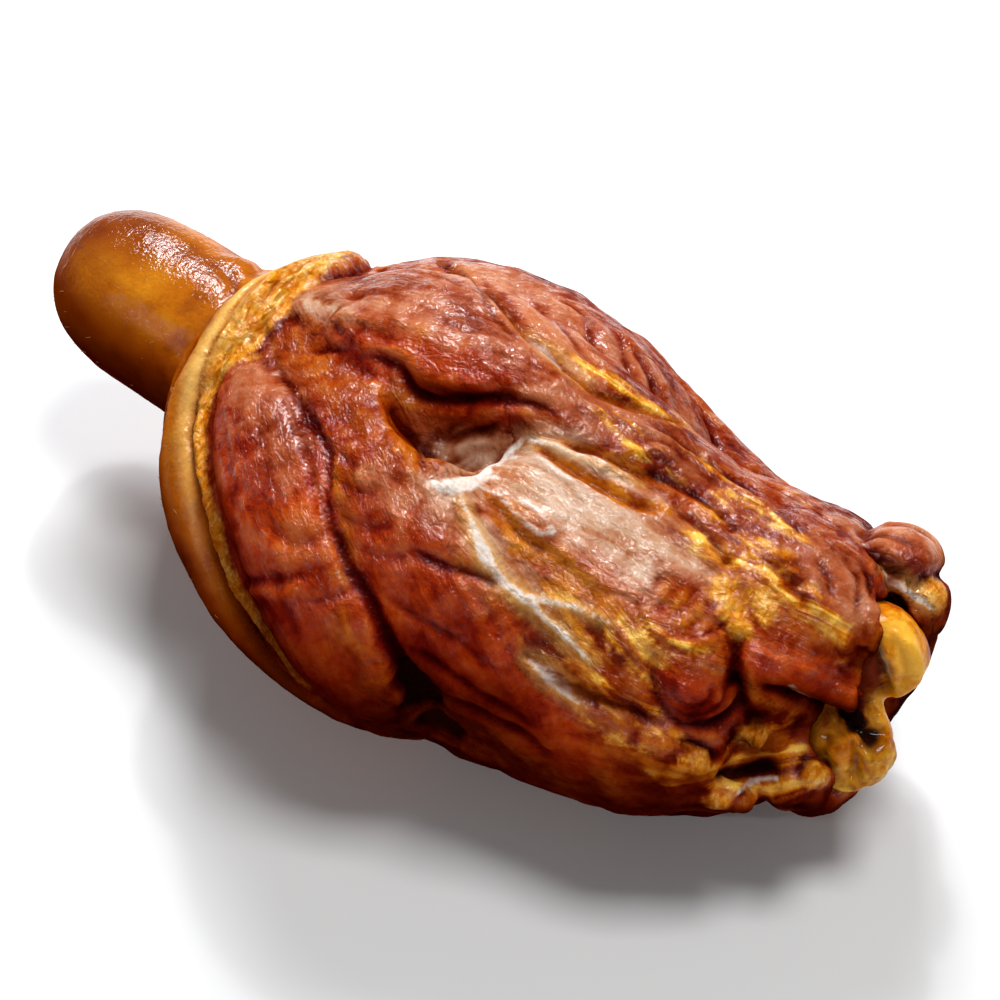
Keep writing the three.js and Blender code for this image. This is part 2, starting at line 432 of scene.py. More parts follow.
print("a line's tools", [name for name in vars(LinedSkin) if not name.startswith("_")])

# %% [markdown]
# A mark tells the material what lies where, such as fat or rind. The marks could be
# painted as 0 and 1, but then their edges would be as coarse as the mesh. They are kept
# as a distance from the edge instead, because a distance stays smooth between the points,
# and the material can draw a crisp or a frayed edge from it. 0.5 is on the edge.

# %% Marks on it
# How far in mm a mark takes to fade from its middle value, on each side of its edge.
SOFTNESS = {
    "rind": 3, "cream": 5, "fat": 3, "gold": 4, "pale": 3, "film": 7, "beige": 5,
    "orange": 6, "lean": 5, "dark": 3, "brown": 12, "amber": 3,
}


class MarkedSkin(LinedSkin):
    """A skin with marks for the material."""

    def __init__(self, mesh, marks):
        super().__init__(mesh)
        self.marks = {name: np.zeros(len(self.skin)) for name in marks}

    def mark(self, name, which, inside):
        """Marks points by how far in mm they lie inside an edge."""
        level = np.clip(0.5 + inside / (2 * SOFTNESS[name]), 0, 1)
        self.marks[name][which] = np.maximum(self.marks[name][which], level)

    def paint(self, name, places, width, rough=0.35, ends=0.0):
        """Marks the surface along a line, with an uneven edge."""
        which, away, along, _ = self.beside(places, 1.4 * np.max(width) + SOFTNESS[name])
        wide = spread(width, along)
        uneven = rough * wide * (
            lumps(self.body[which], 7, 7) + 0.5 * lumps(self.body[which], 3, 8)
        )
        fade = ramp(np.minimum(along, 1 - along), -0.001, ends) if ends else 1
        self.mark(name, which, wide * fade - away - uneven)

    def wipe(self, name, places, width):
        """Takes a mark off along a line."""
        which, away, along, _ = self.beside(places, np.max(width) + SOFTNESS[name])
        level = np.clip(0.5 + (away - spread(width, along)) / (2 * SOFTNESS[name]), 0, 1)
        self.marks[name][which] = np.minimum(self.marks[name][which], level)


print("kinds of mark", len(SOFTNESS))

# %% [markdown]
# A groove is pressed in with a rounded bottom, and a ridge is a groove whose depth is
# below 0. Every line wavers a little, as cuts in meat do.

# %% Clay that can be pressed and raised
GROOVE_REACH, LEAST_REACH = 3.2, 5
WAVER = 0.3


class Clay(MarkedSkin):
    """A marked skin with the tools that carve it."""

    def press(self, places, width, depth, ends=0.12, dark=0.0):
        """A groove along a line (a ridge where its depth is below 0). Where dark is over
        0, its bottom is marked that many mm to each side."""
        which, away, along, _ = self.beside(
            places, max(GROOVE_REACH * np.max(width), LEAST_REACH),
        )
        wide = spread(width, along)
        wavered = np.abs(away + WAVER * wide * lumps(self.body[which], 5, 3))
        fade = ramp(np.minimum(along, 1 - along), -0.001, ends) if ends else 1
        shape = np.exp(-((wavered / wide) ** 2)) * fade
        self.skin[which] -= self.outward[which] * (spread(depth, along) * shape)[:, None]
        # The dark mark at a groove's bottom is painted shade.
        if np.any(np.asarray(dark) > 0):
            reach = spread(dark, along) * (1 + 0.5 * lumps(self.body[which], 4, 6))
            self.mark("dark", which, reach - away - 1.5 * (1 - fade))

    def lump(self, place, size, lift, name=None):
        """A small swelling (a dent where lift is below 0), marked if a name is given."""
        centre = self.find(place)
        which = np.flatnonzero(np.all(np.abs(self.body - centre) < 2 * size + 4, axis=1))
        away = np.linalg.norm(self.body[which] - centre, axis=1)
        away = away + WAVER * size * lumps(self.body[which], size * 0.8, 4)
        round_top = np.clip(1 - (away / (1.5 * size)) ** 2, 0, 1) ** 1.5
        self.skin[which] += self.outward[which] * (lift * round_top)[:, None]
        if name:
            self.mark(name, which, size - away)

    def soften(self, place, size, times):
        """Smooths the surface round a place."""
        away = np.linalg.norm(self.body - self.find(place), axis=1)
        share = ramp(away, size, 0.5 * size)[:, None]
        self.skin += share * (relax(self.skin, self.quads, 0.5, times) - self.skin)

    def write(self, extra=None):
        """Puts the carved points and the marks into the mesh."""
        self.mesh.vertices.foreach_set("co", (self.skin * MM).astype(np.float32).ravel())
        for name, values in {**self.marks, **(extra or {})}.items():
            layer = self.mesh.attributes.new(name, "FLOAT", "POINT")
            layer.data.foreach_set("value", values.astype(np.float32))
        self.mesh.update()


clay = Clay(meat.data, SOFTNESS)
body, marks = clay.body, clay.marks
press, paint, wipe, lump = clay.press, clay.paint, clay.wipe, clay.lump
leg = leg_middle(body[:, 0])
angle_round = np.degrees(np.arctan2(body[:, 2] - leg[:, 2], body[:, 1] - leg[:, 1])) % 360
print("points", len(body), "top of the leg", clay.find((0, 90)).round(1))

# %% [markdown]
# ## The muscles' grain
# The fibres of a muscle run along it. One noise stretched the same way everywhere would
# look like wood, so the direction has to turn with each muscle. Each is given its middle
# line and half its width, and every point of the skin takes the grain of the muscle it is
# nearest to: a distance along the fibres, a distance across them, and a number that keeps
# the muscles' patterns apart.

# %% The muscles' middle lines
MUSCLES = {
    "fat_band": (
        [
            (-53, 38), (-54, 64), (-54, 84), (-53, 104), (-54, 124), (-53, 141), (-44, 155),
            (-30, 165), (-16, 174), (2, 184),
        ],
        6,
    ),
    "beside_rim": ([(-51, 117), (-26, 136), (0, 156), (14, 174), (25, 200)], 16),
    "middle_band": ([(-43, 93), (-8, 119), (12, 133), (28, 145), (43, 161), (55, 190)], 18),
    "top_ridge": ([(-53, 73), (-17, 79), (9, 74), (33, 70), (58, 68), (85, 74)], 19),
    "near_shoulder": ([(67, 75), (85, 81), (108, 85)], 17),
    "flat_muscle": ([(15, 114), (31, 109), (51, 109), (73, 112), (95, 115)], 19),
    "far_flap": ([(-41, 38), (-15, 34), (11, 30), (33, 27), (53, 30)], 20),
    "fatty_side": ([(35, 128), (53, 139), (72, 146), (91, 154)], 17),
    "swirl": ([(65, 133), (77, 141), (89, 146)], 13),
    "tip": ([(73, 125), (89, 125), (101, 130), (113, 136)], 11),
    "low_near": ([(31, 188), (57, 180), (79, 173), (99, 171)], 16),
    "under_near": ([(11, 206), (43, 207), (75, 207), (99, 213)], 17),
    "under_middle": ([(7, 260), (43, 252), (77, 250), (105, 256)], 19),
    "under_far": ([(-23, 312), (21, 305), (65, 304), (105, 310)], 19),
    "far_side": ([(-45, 351), (1, 352), (51, 351), (103, 348)], 21),
    "far_shoulder": ([(45, 30), (71, 28), (91, 32), (109, 36)], 15),
    "end_flap": ([(91, 46), (104, 50), (113, 51)], 10),
}
print("muscles", len(MUSCLES))

# %% The grain of each muscle
FURTHEST = 90
FAR_OFF = 9.0
APART = 40
grain = np.zeros((len(body), 3))
first = np.full(len(body), FAR_OFF)
second = np.full(len(body), FAR_OFF)
for number, (run, half_wide) in enumerate(MUSCLES.values()):
    which, away, along, side = clay.beside(run, FURTHEST)
    length = np.linalg.norm(np.diff(clay.trail(run)[0], axis=0), axis=1).sum()
    nearness = away / half_wide
    closer = nearness < first[which]
    second[which] = np.where(closer, first[which], np.minimum(second[which], nearness))
    first[which] = np.where(closer, nearness, first[which])
    which = which[closer]
    grain[which, 0] = along[closer] * length
    grain[which, 1] = side[closer]
    grain[which, 2] = number * APART
inside_muscle = ramp(second - first, 0.0, 0.25)
print("well inside a muscle", round(float(inside_muscle.mean()), 2), "of the points")

# %% [markdown]
# ## The skin-covered end
# The shank keeps its skin, which smoking turns to amber leather. The skin stops at a
# thick rolled edge round the leg, where it was cut and shrank back. A cut through the
# mesh would make the edge jagged, so the rind is a mark: everything on the shank's side
# of a line, which is given as a distance along the leg for each angle round it.

# %% Rind, and the edge where it stops
RIND_ANGLE = [0, 17, 40, 71, 89, 114, 130, 140, 150, 156, 160, 164, 170, 174, 179, 183, 188,
              193, 208, 234, 270, 306, 339, 360]
RIND_X = [-50, -48, -53, -58, -57, -58, -57, -55, -52, -47, -42, -36, -30, -22, -14, -7, 1,
          9, 23, 22, 5, -19, -39, -50]
edge_x = np.interp(angle_round, RIND_ANGLE, RIND_X)
after, before = angle_round + 1, angle_round - 1
slope = (np.interp(after, RIND_ANGLE, RIND_X) - np.interp(before, RIND_ANGLE, RIND_X)) / 2
off_edge = (edge_x - body[:, 0]) / np.hypot(1, slope / 0.85)
clay.mark("rind", slice(None), off_edge)
RIM_CREST = [
    (-53, 50), (-56, 68), (-59.5, 84), (-59.5, 107), (-58.5, 126), (-57, 138), (-53, 152),
    (-45, 163), (-35, 171), (-23, 178),
]
# The cream on the crest is partly fat showing through and partly a painted highlight.
paint("cream", RIM_CREST, [0, 0.6, 1.8, 2.4, 2.2, 1.6, 0.2, -1.5, -2.5])
press(
    [(-78, 70), (-70, 80), (-66, 100), (-64, 126), (-64, 148), (-58, 170)], 1.8, 1.2, dark=0.6,
)
lump((-74, 58), 5, 1.2)
# The brown marks make the shank's end and top browner, and are painted shade on its near lower
# side and along the rim's lower outside.
paint("brown", [(-122, 60), (-110, 92), (-100, 88), (-84, 84)], [16, 12, 8, 3], rough=0.2)
paint("brown", [(-112, 150), (-92, 172), (-80, 186), (-70, 200)], [6, 9, 9, 8], rough=0.2)
paint(
    "brown", [(-54, 158), (-45, 171), (-26, 179), (-11, 186), (5, 191), (14, 198)],
    [1, 4, 6, 7, 8, 8], rough=0.2,
)
RIM_GAP = [
    (-57, 122), (-55, 138), (-52, 151), (-42, 160), (-31, 169), (-21, 175), (-8, 183), (4, 190),
]
press(RIM_GAP, 1.0, 1.5, dark=[0.1, 0.25, 0.35, 0.3])
print("rind", round(float((marks["rind"] > 0.5).mean()), 2), "of the skin")

# %% [markdown]
# ## Fat along the edge
# Under the edge of the rind lies its fat: a stringy yellow band at the top, which thins
# to a cord down the near side. It isn't smooth like butter, because strands of skin hold
# it in long lobes. So the strands are raised, the valleys between them are pressed in,
# and both run along the band.

# %% The fat band and the fat cord
FAT_BAND = [
    (-53, 38), (-53, 64), (-54, 78), (-54, 94), (-53, 108), (-53, 118), (-54, 131), (-53, 141),
]
paint("fat", FAT_BAND, [2, 3, 4.5, 6, 6.8, 5.5, 3.5, 2], rough=0.25)
STRANDS = [
    [(-52, 50), (-52, 73), (-52, 86), (-50, 97), (-47, 108)],
    [(-55, 64), (-56, 87), (-56, 99), (-55, 112), (-54, 126)],
    [(-51, 80), (-50, 100), (-52, 112), (-54, 124)],
    [(-49, 90), (-48, 98), (-49, 106)],
]
for strand in STRANDS:
    press(strand, 0.9, -0.9, ends=0.3)
TOP_STRAND = [(-55, 134), (-53, 127), (-50, 121), (-46, 114)]
press(TOP_STRAND, 0.9, -1.1, ends=0.2)
paint("fat", TOP_STRAND, [1.5, 1.5, 0.8])
for valley in (
    [(-54, 60), (-54, 88), (-53, 104)], [(-50, 86), (-50, 104), (-52, 118)],
    [(-57, 66), (-59, 90), (-58, 118), (-56, 138)],
):
    press(valley, 0.8, 0.9, ends=0.3)
    paint("amber", valley, 0.4, ends=0.3)
FAT_CORD = [
    (-54, 136), (-50, 148), (-44, 155), (-36, 160), (-30, 165), (-24, 170), (-16, 174),
    (-6, 178), (2, 184),
]
press(FAT_CORD, 1.3, -1.8, ends=0.05)
paint("fat", FAT_CORD, [2.6, 2.3, 2.2, 2.6, 2.4, 2.4, 2.2, 1.6])
paint("amber", FAT_CORD[1:], [-0.4, 0.3, 0.4, 0.3, 0.2], rough=1.6)
print("fat", int((marks["fat"] > 0.5).sum()), "points")

# %% [markdown]
# ## The muscle beside the rim
# A long red muscle that swells up out of the band beside it. It has short creases across
# it and a deep fold along its far edge, which opens into a black gap low down. The CAD
# piece already has the swelling. The creases are a few soft grooves, wide for their
# depth, since cured meat has shrunk and holds no sharp cuts.

# %% The muscle beside the rim
paint(
    "lean", [(-50, 122), (-40, 136), (-30, 146), (-18, 156), (0, 166), (12, 176)],
    [8, 13, 15, 16, 14, 10],
)
paint("lean", [(-36, 122), (-26, 127), (-17, 133), (-9, 139), (1, 147)], [4, 7, 7, 7, 6])
# The film over the muscle's top is a painted pinkish sheen.
paint(
    "film", [(-46, 119), (-38, 122), (-28, 127), (-20, 132), (-13, 137)], [4, 7, 8, 7, 2],
    rough=0.5,
)
paint("lean", [(-30, 142), (-18, 146), (-8, 149), (4, 153)], [4, 7, 8, 6])
CREASES = [
    ([(-16, 144), (-10, 147), (-3, 146), (3, 141)], 1.7, 1.0),
    ([(-22, 168), (-14, 161), (-7, 156), (-1, 152), (4, 146)], 1.5, 0.9),
    ([(1, 157), (8, 153), (13, 147)], 1.1, 0.7),
    ([(-46, 128), (-38, 136), (-30, 142), (-20, 148)], 1.8, 0.6),
    ([(-34, 124), (-26, 133), (-18, 139)], 1.6, 0.5),
    ([(-34, 150), (-22, 156), (-10, 163)], 1.6, 0.5),
]
for crease, width, depth in CREASES:
    press(crease, width, depth, ends=0.35)
press([(-16, 166), (-10, 160), (-3, 157), (3, 151)], 1.3, -0.9, ends=0.3)
DEEP_FOLD = [
    (-43, 113), (-38, 113), (-28, 118), (-18, 123), (-10, 127), (-6, 132), (-2, 138), (4, 143),
    (9, 147), (15, 150), (19, 154), (24, 160), (28, 167), (31, 176), (33, 188),
]
# The dark marks in the deep fold and in the gap low down are painted shade.
press(
    DEEP_FOLD, [0.8, 0.9, 1.1, 1.6, 2.8], [1.0, 1.2, 1.6, 2.8, 5],
    dark=[0.0, 0.0, 0.1, 0.3, 1.8],
)
# The broken pale line along the fold's edge is partly a thread and partly a painted highlight.
paint(
    "pale", [(-26, 122), (-17, 127), (-9, 132), (-4, 138), (2, 144), (8, 149)],
    [-0.4, 0.0, -0.1, 0.05, -0.2], rough=3,
)
for place in ((30, 168), (30, 176), (33, 187)):
    lump(place, 4.5, -3, "dark")
print("lean", int((marks["lean"] > 0.5).sum()), "points")

# %% [markdown]
# ## The pocket
# Between the top ridge and the middle band the meat falls into a pocket. Its upper edge
# overhangs, its left wall is folded, and a silvery fold lies across its floor. Points
# only move straight in or out here, so the overhang is a deep groove under a raised lip,
# which looks the same from outside.

# %% The pocket
POCKET_LIP = [
    (-21, 100), (-14, 99), (-8, 98.5), (-3, 101), (2, 100), (8, 96.5), (14, 93), (20, 90),
    (26, 87), (31, 86),
]
# The dark mark under the overhanging lip is painted shade.
press(
    POCKET_LIP, [1.0, 1.3, 1.6, 1.6, 1.3, 1.0], [0.6, 1.5, 2.6, 2.6, 1.8, 0.8],
    dark=[0.1, 0.4, 0.8, 0.7, 0.3, 0.0],
)
LEFT_WALL = [(-7, 107), (-3, 110), (1, 111), (6, 113), (10, 116.5), (13, 120), (16, 122)]
press(LEFT_WALL, [1.0, 1.3, 1.1], [1.8, 2.0, 1.0], dark=[0.3, 0.4, 0.1])
press([(-12, 107), (-7, 110), (-1, 115), (5, 118), (11, 121)], 1.5, -0.8, ends=0.3)
paint("lean", [(-2, 106), (5, 102), (12, 98), (20, 93)], [3, 5, 5, 3])
paint("orange", [(5, 113), (11, 111), (17, 107)], [2, 4, 3])
FLOOR_LINE = [(1, 109), (6, 105), (10, 100.5), (14, 97), (19, 93.5)]
press(FLOOR_LINE, 1.0, 1.3, ends=0.2, dark=0.4)
FLOOR_FOLD = [(4, 109), (9, 105), (12.5, 101), (16, 98), (21, 95)]
press(FLOOR_FOLD, 1.3, -1.2, ends=0.2)
paint("orange", [(-8, 104), (0, 105), (7, 101), (13, 97)], [1, 3, 3, 1])
wipe("lean", [(0, 112), (8, 107), (15, 102), (20, 97)], [3, 4, 4, 3])
# The film and beige on the floor's fold are partly its skin and partly a painted silvery sheen,
# which lightens the shaded floor.
paint("film", [(0, 108), (8, 103), (15, 99)], [1, 4, 3], rough=0.8)
paint("beige", [(4, 110), (10, 106), (16, 101), (21, 96)], [0, 3.4, 3.4, 1], rough=0.6)
press(
    [(17, 118), (19, 114), (19.5, 108), (19.5, 103), (20.5, 97)], 1.0, 1.4, ends=0.3, dark=0.2,
)
for wrinkle in (
    [(8, 114), (10, 110), (12, 106)], [(11, 116), (13, 111), (14, 106)],
    [(14, 118), (15.5, 113), (16, 107)], [(3, 107), (6, 103), (9, 99)],
):
    press(wrinkle, 0.8, 0.6, ends=0.3)
    paint("dark", wrinkle, 0.02, ends=0.3)
clay.soften((19, 94), 4, 10)
clay.soften((5, 107), 4, 6)
print("deepest press", round(float(np.abs(clay.skin - body).max()), 1), "mm")

# %% [markdown]
# ## The top ridge
# A broad muscle with a smooth, pale mauve skin on top, whose mauve is partly a painted
# sheen, and a wet orange-red face that turns down into the pocket. Fine orange veins show
# where that skin is thin, so each is a shallow groove with the skin's mark wiped off. A
# fold parts the ridge from the flap on the far side.

# %% The top ridge
# The mauve skin on the ridge's top is partly a painted sheen.
paint(
    "film", [(-51, 86), (-42, 74), (-30, 78), (-12, 76), (8, 72), (26, 74)],
    [4, 9, 12, 13, 12, 8], rough=0.2,
)
# This beige patch at the ridge's left end is a painted sheen.
paint("beige", [(-51, 90), (-44, 86), (-36, 88), (-27, 90)], [0, 2.5, 2.5, 0], rough=0.8)
paint("lean", POCKET_LIP[:8], [2, 4, 5, 5, 4, 0])
paint("film", [(22, 84), (32, 80), (42, 74), (54, 68)], [3, 6, 6, 4], rough=0.5)
RED_FACE = [(-30, 99), (-20, 100), (-12, 98), (-3, 95), (6, 91), (15, 87.5)]
paint("lean", RED_FACE, [2, 5, 6, 6.5, 6, 2])
wipe("film", RED_FACE, [1, 4, 5, 5.5, 5, 1])
press([(-18, 97.5), (-10, 96), (-4, 97.5), (2, 96.5), (9, 93), (15, 90)], 2.2, -1.2, ends=0.25)
press(
    [(-40, 98), (-33, 93.5), (-24, 91), (-15, 89), (-6, 88), (2, 85), (10, 81.5), (19, 81)],
    1.8, -1.0, ends=0.2,
)
lump((-31, 83), 2.4, -0.9)
lump((-34, 93), 2.8, -0.9)
lump((-28, 90), 2.2, 0.8)
VEINS = [
    [(-36, 84), (-28, 81), (-20, 79)],
    [(-19, 76), (-10, 72), (-2, 72)],
    [(-8, 80), (2, 76), (12, 74)],
    [(-30, 66), (-18, 66), (-6, 70)],
    [(8, 84), (16, 81), (26, 78)],
]
for vein in VEINS:
    press(vein, 0.9, 0.4, ends=0.3)
    wipe("film", vein, [0, 0.6, 0])
    paint("orange", vein, 1.0, ends=0.3)
press([(-36, 104), (-28, 101), (-20, 99)], 1.2, 0.7, ends=0.3, dark=0.1)
FLAP_FOLD = [
    (-34, 38), (-22, 48), (-10, 60), (-3, 65), (4, 69), (12, 73), (24, 74), (33, 73), (43, 66),
    (52, 54),
]
press(FLAP_FOLD, [1.2, 1.5, 1.5, 1.2], [1.4, 2.0, 1.8, 1.2], dark=[0.3, 0.5, 0.3, 0.2])
paint("amber", FLAP_FOLD, [0.2, 0.6, 0.6, 0.9, 1.0])
press([(-12, 58), (-8, 64), (3, 74), (14, 77)], 0.9, 0.7, ends=0.2, dark=0.1)
print("film", int((marks["film"] > 0.5).sum()), "points")

# %% [markdown]
# The flap on the far side is a thin sheet of muscle that hangs in long folds. A noise
# could crease it all over, but cloth and skin fold in lines that start and end, so each
# fold is a stroke of its own: a groove with a soft ridge beside it, whose bottom shows
# the lean meat through the skin.

# %% The far flap, with long folds in its skin
paint(
    "film", [(-30, 36), (-8, 46), (10, 50), (28, 48), (42, 40), (50, 28)], [5, 8, 9, 9, 6],
    rough=0.6,
)
FLAP_LINES = [
    [(-30, 43), (-17, 55), (-6, 61)],
    [(-16, 47), (-3, 61), (8, 69), (18, 71)],
    [(-1, 48), (12, 60), (22, 66), (31, 67)],
    [(9, 42), (20, 51), (29, 62)],
    [(19, 39), (28, 47), (36, 56)],
    [(32, 40), (39, 48), (46, 57)],
    [(2, 44), (10, 43), (18, 44)],
    [(24, 40), (31, 42), (38, 41)],
]
for line in FLAP_LINES:
    press(line, 1.1, 0.8, ends=0.3, dark=0.05)
    wipe("film", line, 0.8)
    paint("lean", line, 1.2, ends=0.3)
for line in FLAP_LINES[:6]:
    press([(x + 3, angle - 3) for x, angle in line], 1.4, -0.5, ends=0.3)
paint("pale", [(12, 73), (17, 74), (22, 75), (26, 76)], [0.2, 1.0, 0.8, 0.2])
paint("cream", [(12, 72.5), (17, 73.5), (24, 74), (30, 74)], [0.5, 1.6, 1.6, 0.6])
paint("gold", [(20, 71), (25, 69.5), (31, 68), (39, 64), (50, 57)], [0.4, 1.4, 1.8, 1.6, 0.8])
print("folds in the flap", len(FLAP_LINES))

# %% [markdown]
# ## The middle band
# The band starts as a smooth orange patch beside the deep fold and turns under the leg.
# Short wrinkles cross it where it bends, then long striped folds follow its fibres down.
# Strokes along the band alone would look combed, so the wrinkles that cross it are made
# apart from the folds, and shallower.

# %% The middle band
paint("orange", [(-42, 104), (-32, 108), (-21, 110), (-13, 114), (-5, 120)], [3, 5, 6, 5, 2.5])
paint("lean", [(-22, 117), (-14, 119), (-6, 120), (0, 124)], [1, 3, 4, 2])
press([(-16, 116), (-9, 119), (-2, 121)], 3.5, 1.0, ends=0.3)
BAND_WRINKLES = [
    [(-11, 125), (-5, 127), (2, 126)],
    [(-7, 131), (0, 132), (9, 129)],
    [(0, 138), (8, 137), (16, 133)],
    [(6, 142), (14, 141), (22, 137)],
]
for wrinkle in BAND_WRINKLES:
    press(wrinkle, 1.5, 0.65, ends=0.3)
# The film on the wrinkles is a painted mauve sheen.
paint("film", [(2, 127), (8, 127), (14, 128)], [1, 3, 3], rough=0.6)
paint("film", [(12, 125), (20, 127), (28, 129)], [2, 4, 1])
paint("orange", [(-6, 110), (2, 115), (8, 121), (14, 124)], [2, 4, 4, 2])
press([(18, 137), (27, 136), (34, 135), (43, 134)], 1.5, 1.6, ends=0.25, dark=0.6)
press([(12, 147), (24, 149), (36, 150), (50, 155)], 1.6, 0.9, ends=0.3, dark=0.2)
press([(22, 157), (34, 158), (48, 163), (60, 169)], 1.6, 0.9, ends=0.3, dark=0.2)
press([(28, 168), (42, 168), (56, 173), (66, 177)], 1.8, 1.3, ends=0.3, dark=0.4)
paint("lean", [(8, 130), (24, 146), (38, 154), (54, 166), (66, 172)], [5, 13, 15, 12, 6])
print("orange", int((marks["orange"] > 0.5).sum()), "points")

# %% [markdown]
# ## The flat muscle and its white edge
# A flat muscle wrapped in beige connective skin, which ends at the pocket in a thick
# white edge. Slots in that skin show orange beneath, and a white line of fat runs down
# its near side. The skin is only a millimetre thick, too thin for a piece of its own, so
# it is a mark with low raised rims, and the slots are grooves through it.

# %% The flat muscle
paint(
    "beige", [(23, 108), (31, 103), (44, 103), (57, 104), (68, 105), (77, 105)],
    [7, 10, 9, 7, 3, 1], rough=0.25,
)
# This small beige patch paints mauve-grey glints.
paint("beige", [(57, 111), (64, 114), (70, 116)], [1, 3.4, 1], rough=0.8)
paint(
    "film", [(24, 112), (36, 110), (50, 109), (64, 108), (78, 104)], [9, 13, 14, 12, 8],
    rough=0.3,
)
print("beige skin", int((marks["beige"] > 0.5).sum()), "points")

# %% [markdown]
# The skin was cut at the pocket, and its edge dried thick and white. A white line alone
# would look like paint, so the edge is a low ridge with beige beside it, and threads of
# white and lines of amber run back from it into the skin.

# %% Its white edge above the pocket
WHITE_EDGE = [
    (15.5, 122), (19.5, 120.5), (21.8, 117), (21.8, 112), (21.5, 106), (21.8, 100), (23.5, 95),
]
press(WHITE_EDGE, [1.2, 1.6, 1.5, 1.3], -0.9, ends=0.1)
paint("pale", WHITE_EDGE, [0.5, 2.1, 2.0, 1.6, 1.3, 0.5], rough=0.5)
paint("beige", WHITE_EDGE, [1, 4, 5, 5, 4, 2])
for angle in (101, 106, 111, 116):
    paint(
        "pale", [(22, angle), (25, angle - 0.5), (29, angle - 2)], [0.7, 0.1, -0.2], rough=0.6,
    )
for angle in (103, 108, 112):
    press([(25, angle), (33, angle - 1), (40, angle - 1)], 0.8, 0.5, ends=0.4)
    paint("amber", [(25, angle), (29, angle - 0.6), (33, angle - 1)], 0.02, ends=0.5)
clay.soften((23.5, 119), 5, 8)
print("white edge", int((marks["pale"] > 0.5).sum()), "points")

# %% [markdown]
# The slots are long gaps in the skin, which show the fat and the meat below. A dark line
# would look drawn on, so a slot is a groove with amber along its bottom, and the skin
# beside it is raised in a thin pale rim.

# %% Slots in its skin, and their raised pale rims
SLOT = [(28, 96), (34, 97), (40, 97), (46, 96.5), (53, 95.5), (60, 92)]
press(SLOT, [1.0, 1.5, 1.5, 1.2], [1.2, 2.0, 2.0, 1.2], dark=0.05)
paint("amber", SLOT, [0.8, 2.4, 2.6, 1.8], rough=0.2)
UPPER_RIM = [(25, 94.5), (33, 93.5), (39, 91.5), (45, 89.5), (52, 88)]
press(UPPER_RIM, 0.9, -1.2, ends=0.15)
paint("cream", UPPER_RIM, [0.6, 0.6, 0.5, 0.2])
paint("pale", UPPER_RIM, [0.6, 0.35, 0.25, 0.0])
LOWER_RIM = [(29, 98.5), (36, 100), (42, 99.5), (50, 99)]
press(LOWER_RIM, 0.9, -0.8, ends=0.2)
paint("pale", LOWER_RIM, [0.3, 0.5, 0.4, 0.1])
SECOND_SLOT = [(31, 91.5), (36, 90.5), (42, 88.5), (48, 86.5), (56, 84)]
press(SECOND_SLOT, 1.1, 1.5, ends=0.2, dark=0.1)
paint("amber", SECOND_SLOT, [0.5, 1.6, 1.8, 1.0])
LOWER_SLOT = [(24, 115), (29, 117.5), (34, 120), (39, 121.5), (46, 121.5)]
press(LOWER_SLOT, [0.9, 1.6, 1.6], 1.5, ends=0.2, dark=0.1)
paint("amber", LOWER_SLOT, [0.6, 1.5, 1.8, 1.2])
LOOP = [
    (23, 114.5), (29, 115.5), (35, 117.5), (40, 118.5), (42.5, 116.5), (38, 113.5), (32, 113.5),
]
press(LOOP, 0.8, -0.8, ends=0.15)
paint("pale", LOOP, [0.2, 0.1, 0.4, 0.1], rough=0.8)
paint("amber", [(32, 115.5), (37, 116)], 0.8)
print("amber", int((marks["amber"] > 0.5).sum()), "points")

# %% [markdown]
# Below the flat muscle lies a soft orange hollow, and the seam past it is filled with
# white fat. The hollow is one wide, shallow press, and the skin's marks are wiped off
# it, so that they can't show through. The seam's fat is raised a little. It is cream at
# the sides and white along its middle, as fat is where it thins out over red meat.

# %% The hollow below it, and the white lines
press([(32, 123), (42, 125), (50, 126), (62, 129)], 5, 1.2, ends=0.3)
for name in ("beige", "film"):
    wipe(name, [(30, 122), (42, 124), (52, 125), (62, 126)], [1, 4, 5, 3])
paint("orange", [(30, 122), (42, 124.5), (52, 126), (63, 129)], [1, 5, 6, 3])
paint(
    "amber", [(30, 121), (40, 123.5), (52, 125.5), (62, 127)], [0.6, 3.0, 3.4, 0.8], rough=0.8,
)
WHITE_LINE = [
    (23, 121), (28, 125), (32, 128.5), (36, 131.5), (40, 134), (45, 136), (50, 138.5),
    (56, 140.5), (63, 144),
]
press(WHITE_LINE, 1.1, -0.9, ends=0.1)
paint(
    "beige", [(26, 123), (33, 127), (41, 131), (48, 132.5), (56, 131.5)],
    [1.5, 3, 3.4, 2.5, 0.8], rough=0.5,
)
paint("cream", WHITE_LINE, [0.5, 1.5, 2.2, 2.2, 1.5, 1.0], rough=0.6)
paint("pale", WHITE_LINE, [0.3, 0.7, 1.2, 1.2, 0.9, 0.5, 0.5, 0.2], rough=0.6)
BRANCH = [(44, 135.5), (49, 134), (55, 132), (63, 132)]
press(BRANCH, 0.9, -0.8, ends=0.2)
paint("cream", BRANCH, [1.2, 1.2, 0.4])
paint("pale", BRANCH, [0.6, 0.4, 0.2])
WHITE_STRIP = [(51, 148.5), (55, 151), (58, 153), (64, 155.5)]
press(WHITE_STRIP, 1.3, -0.8, ends=0.2)
paint("cream", WHITE_STRIP, [1.0, 2.4, 2.0, 1.0])
paint("pale", WHITE_STRIP, [0.4, 1.4, 1.1, 0.2])
press([(49, 147), (54, 149.5), (61, 152.5)], 1.1, 1.0, ends=0.2, dark=0.3)
print("white in all", int((marks["pale"] > 0.5).sum()), "points")

# %% [markdown]
# Past the flat muscle its skin gathers into sinews that run to the joint. Thin tubes laid
# on the meat would look stuck on, so the sinews are ridges raised out of it, stained gold
# by the smoke, with dark grooves between them.

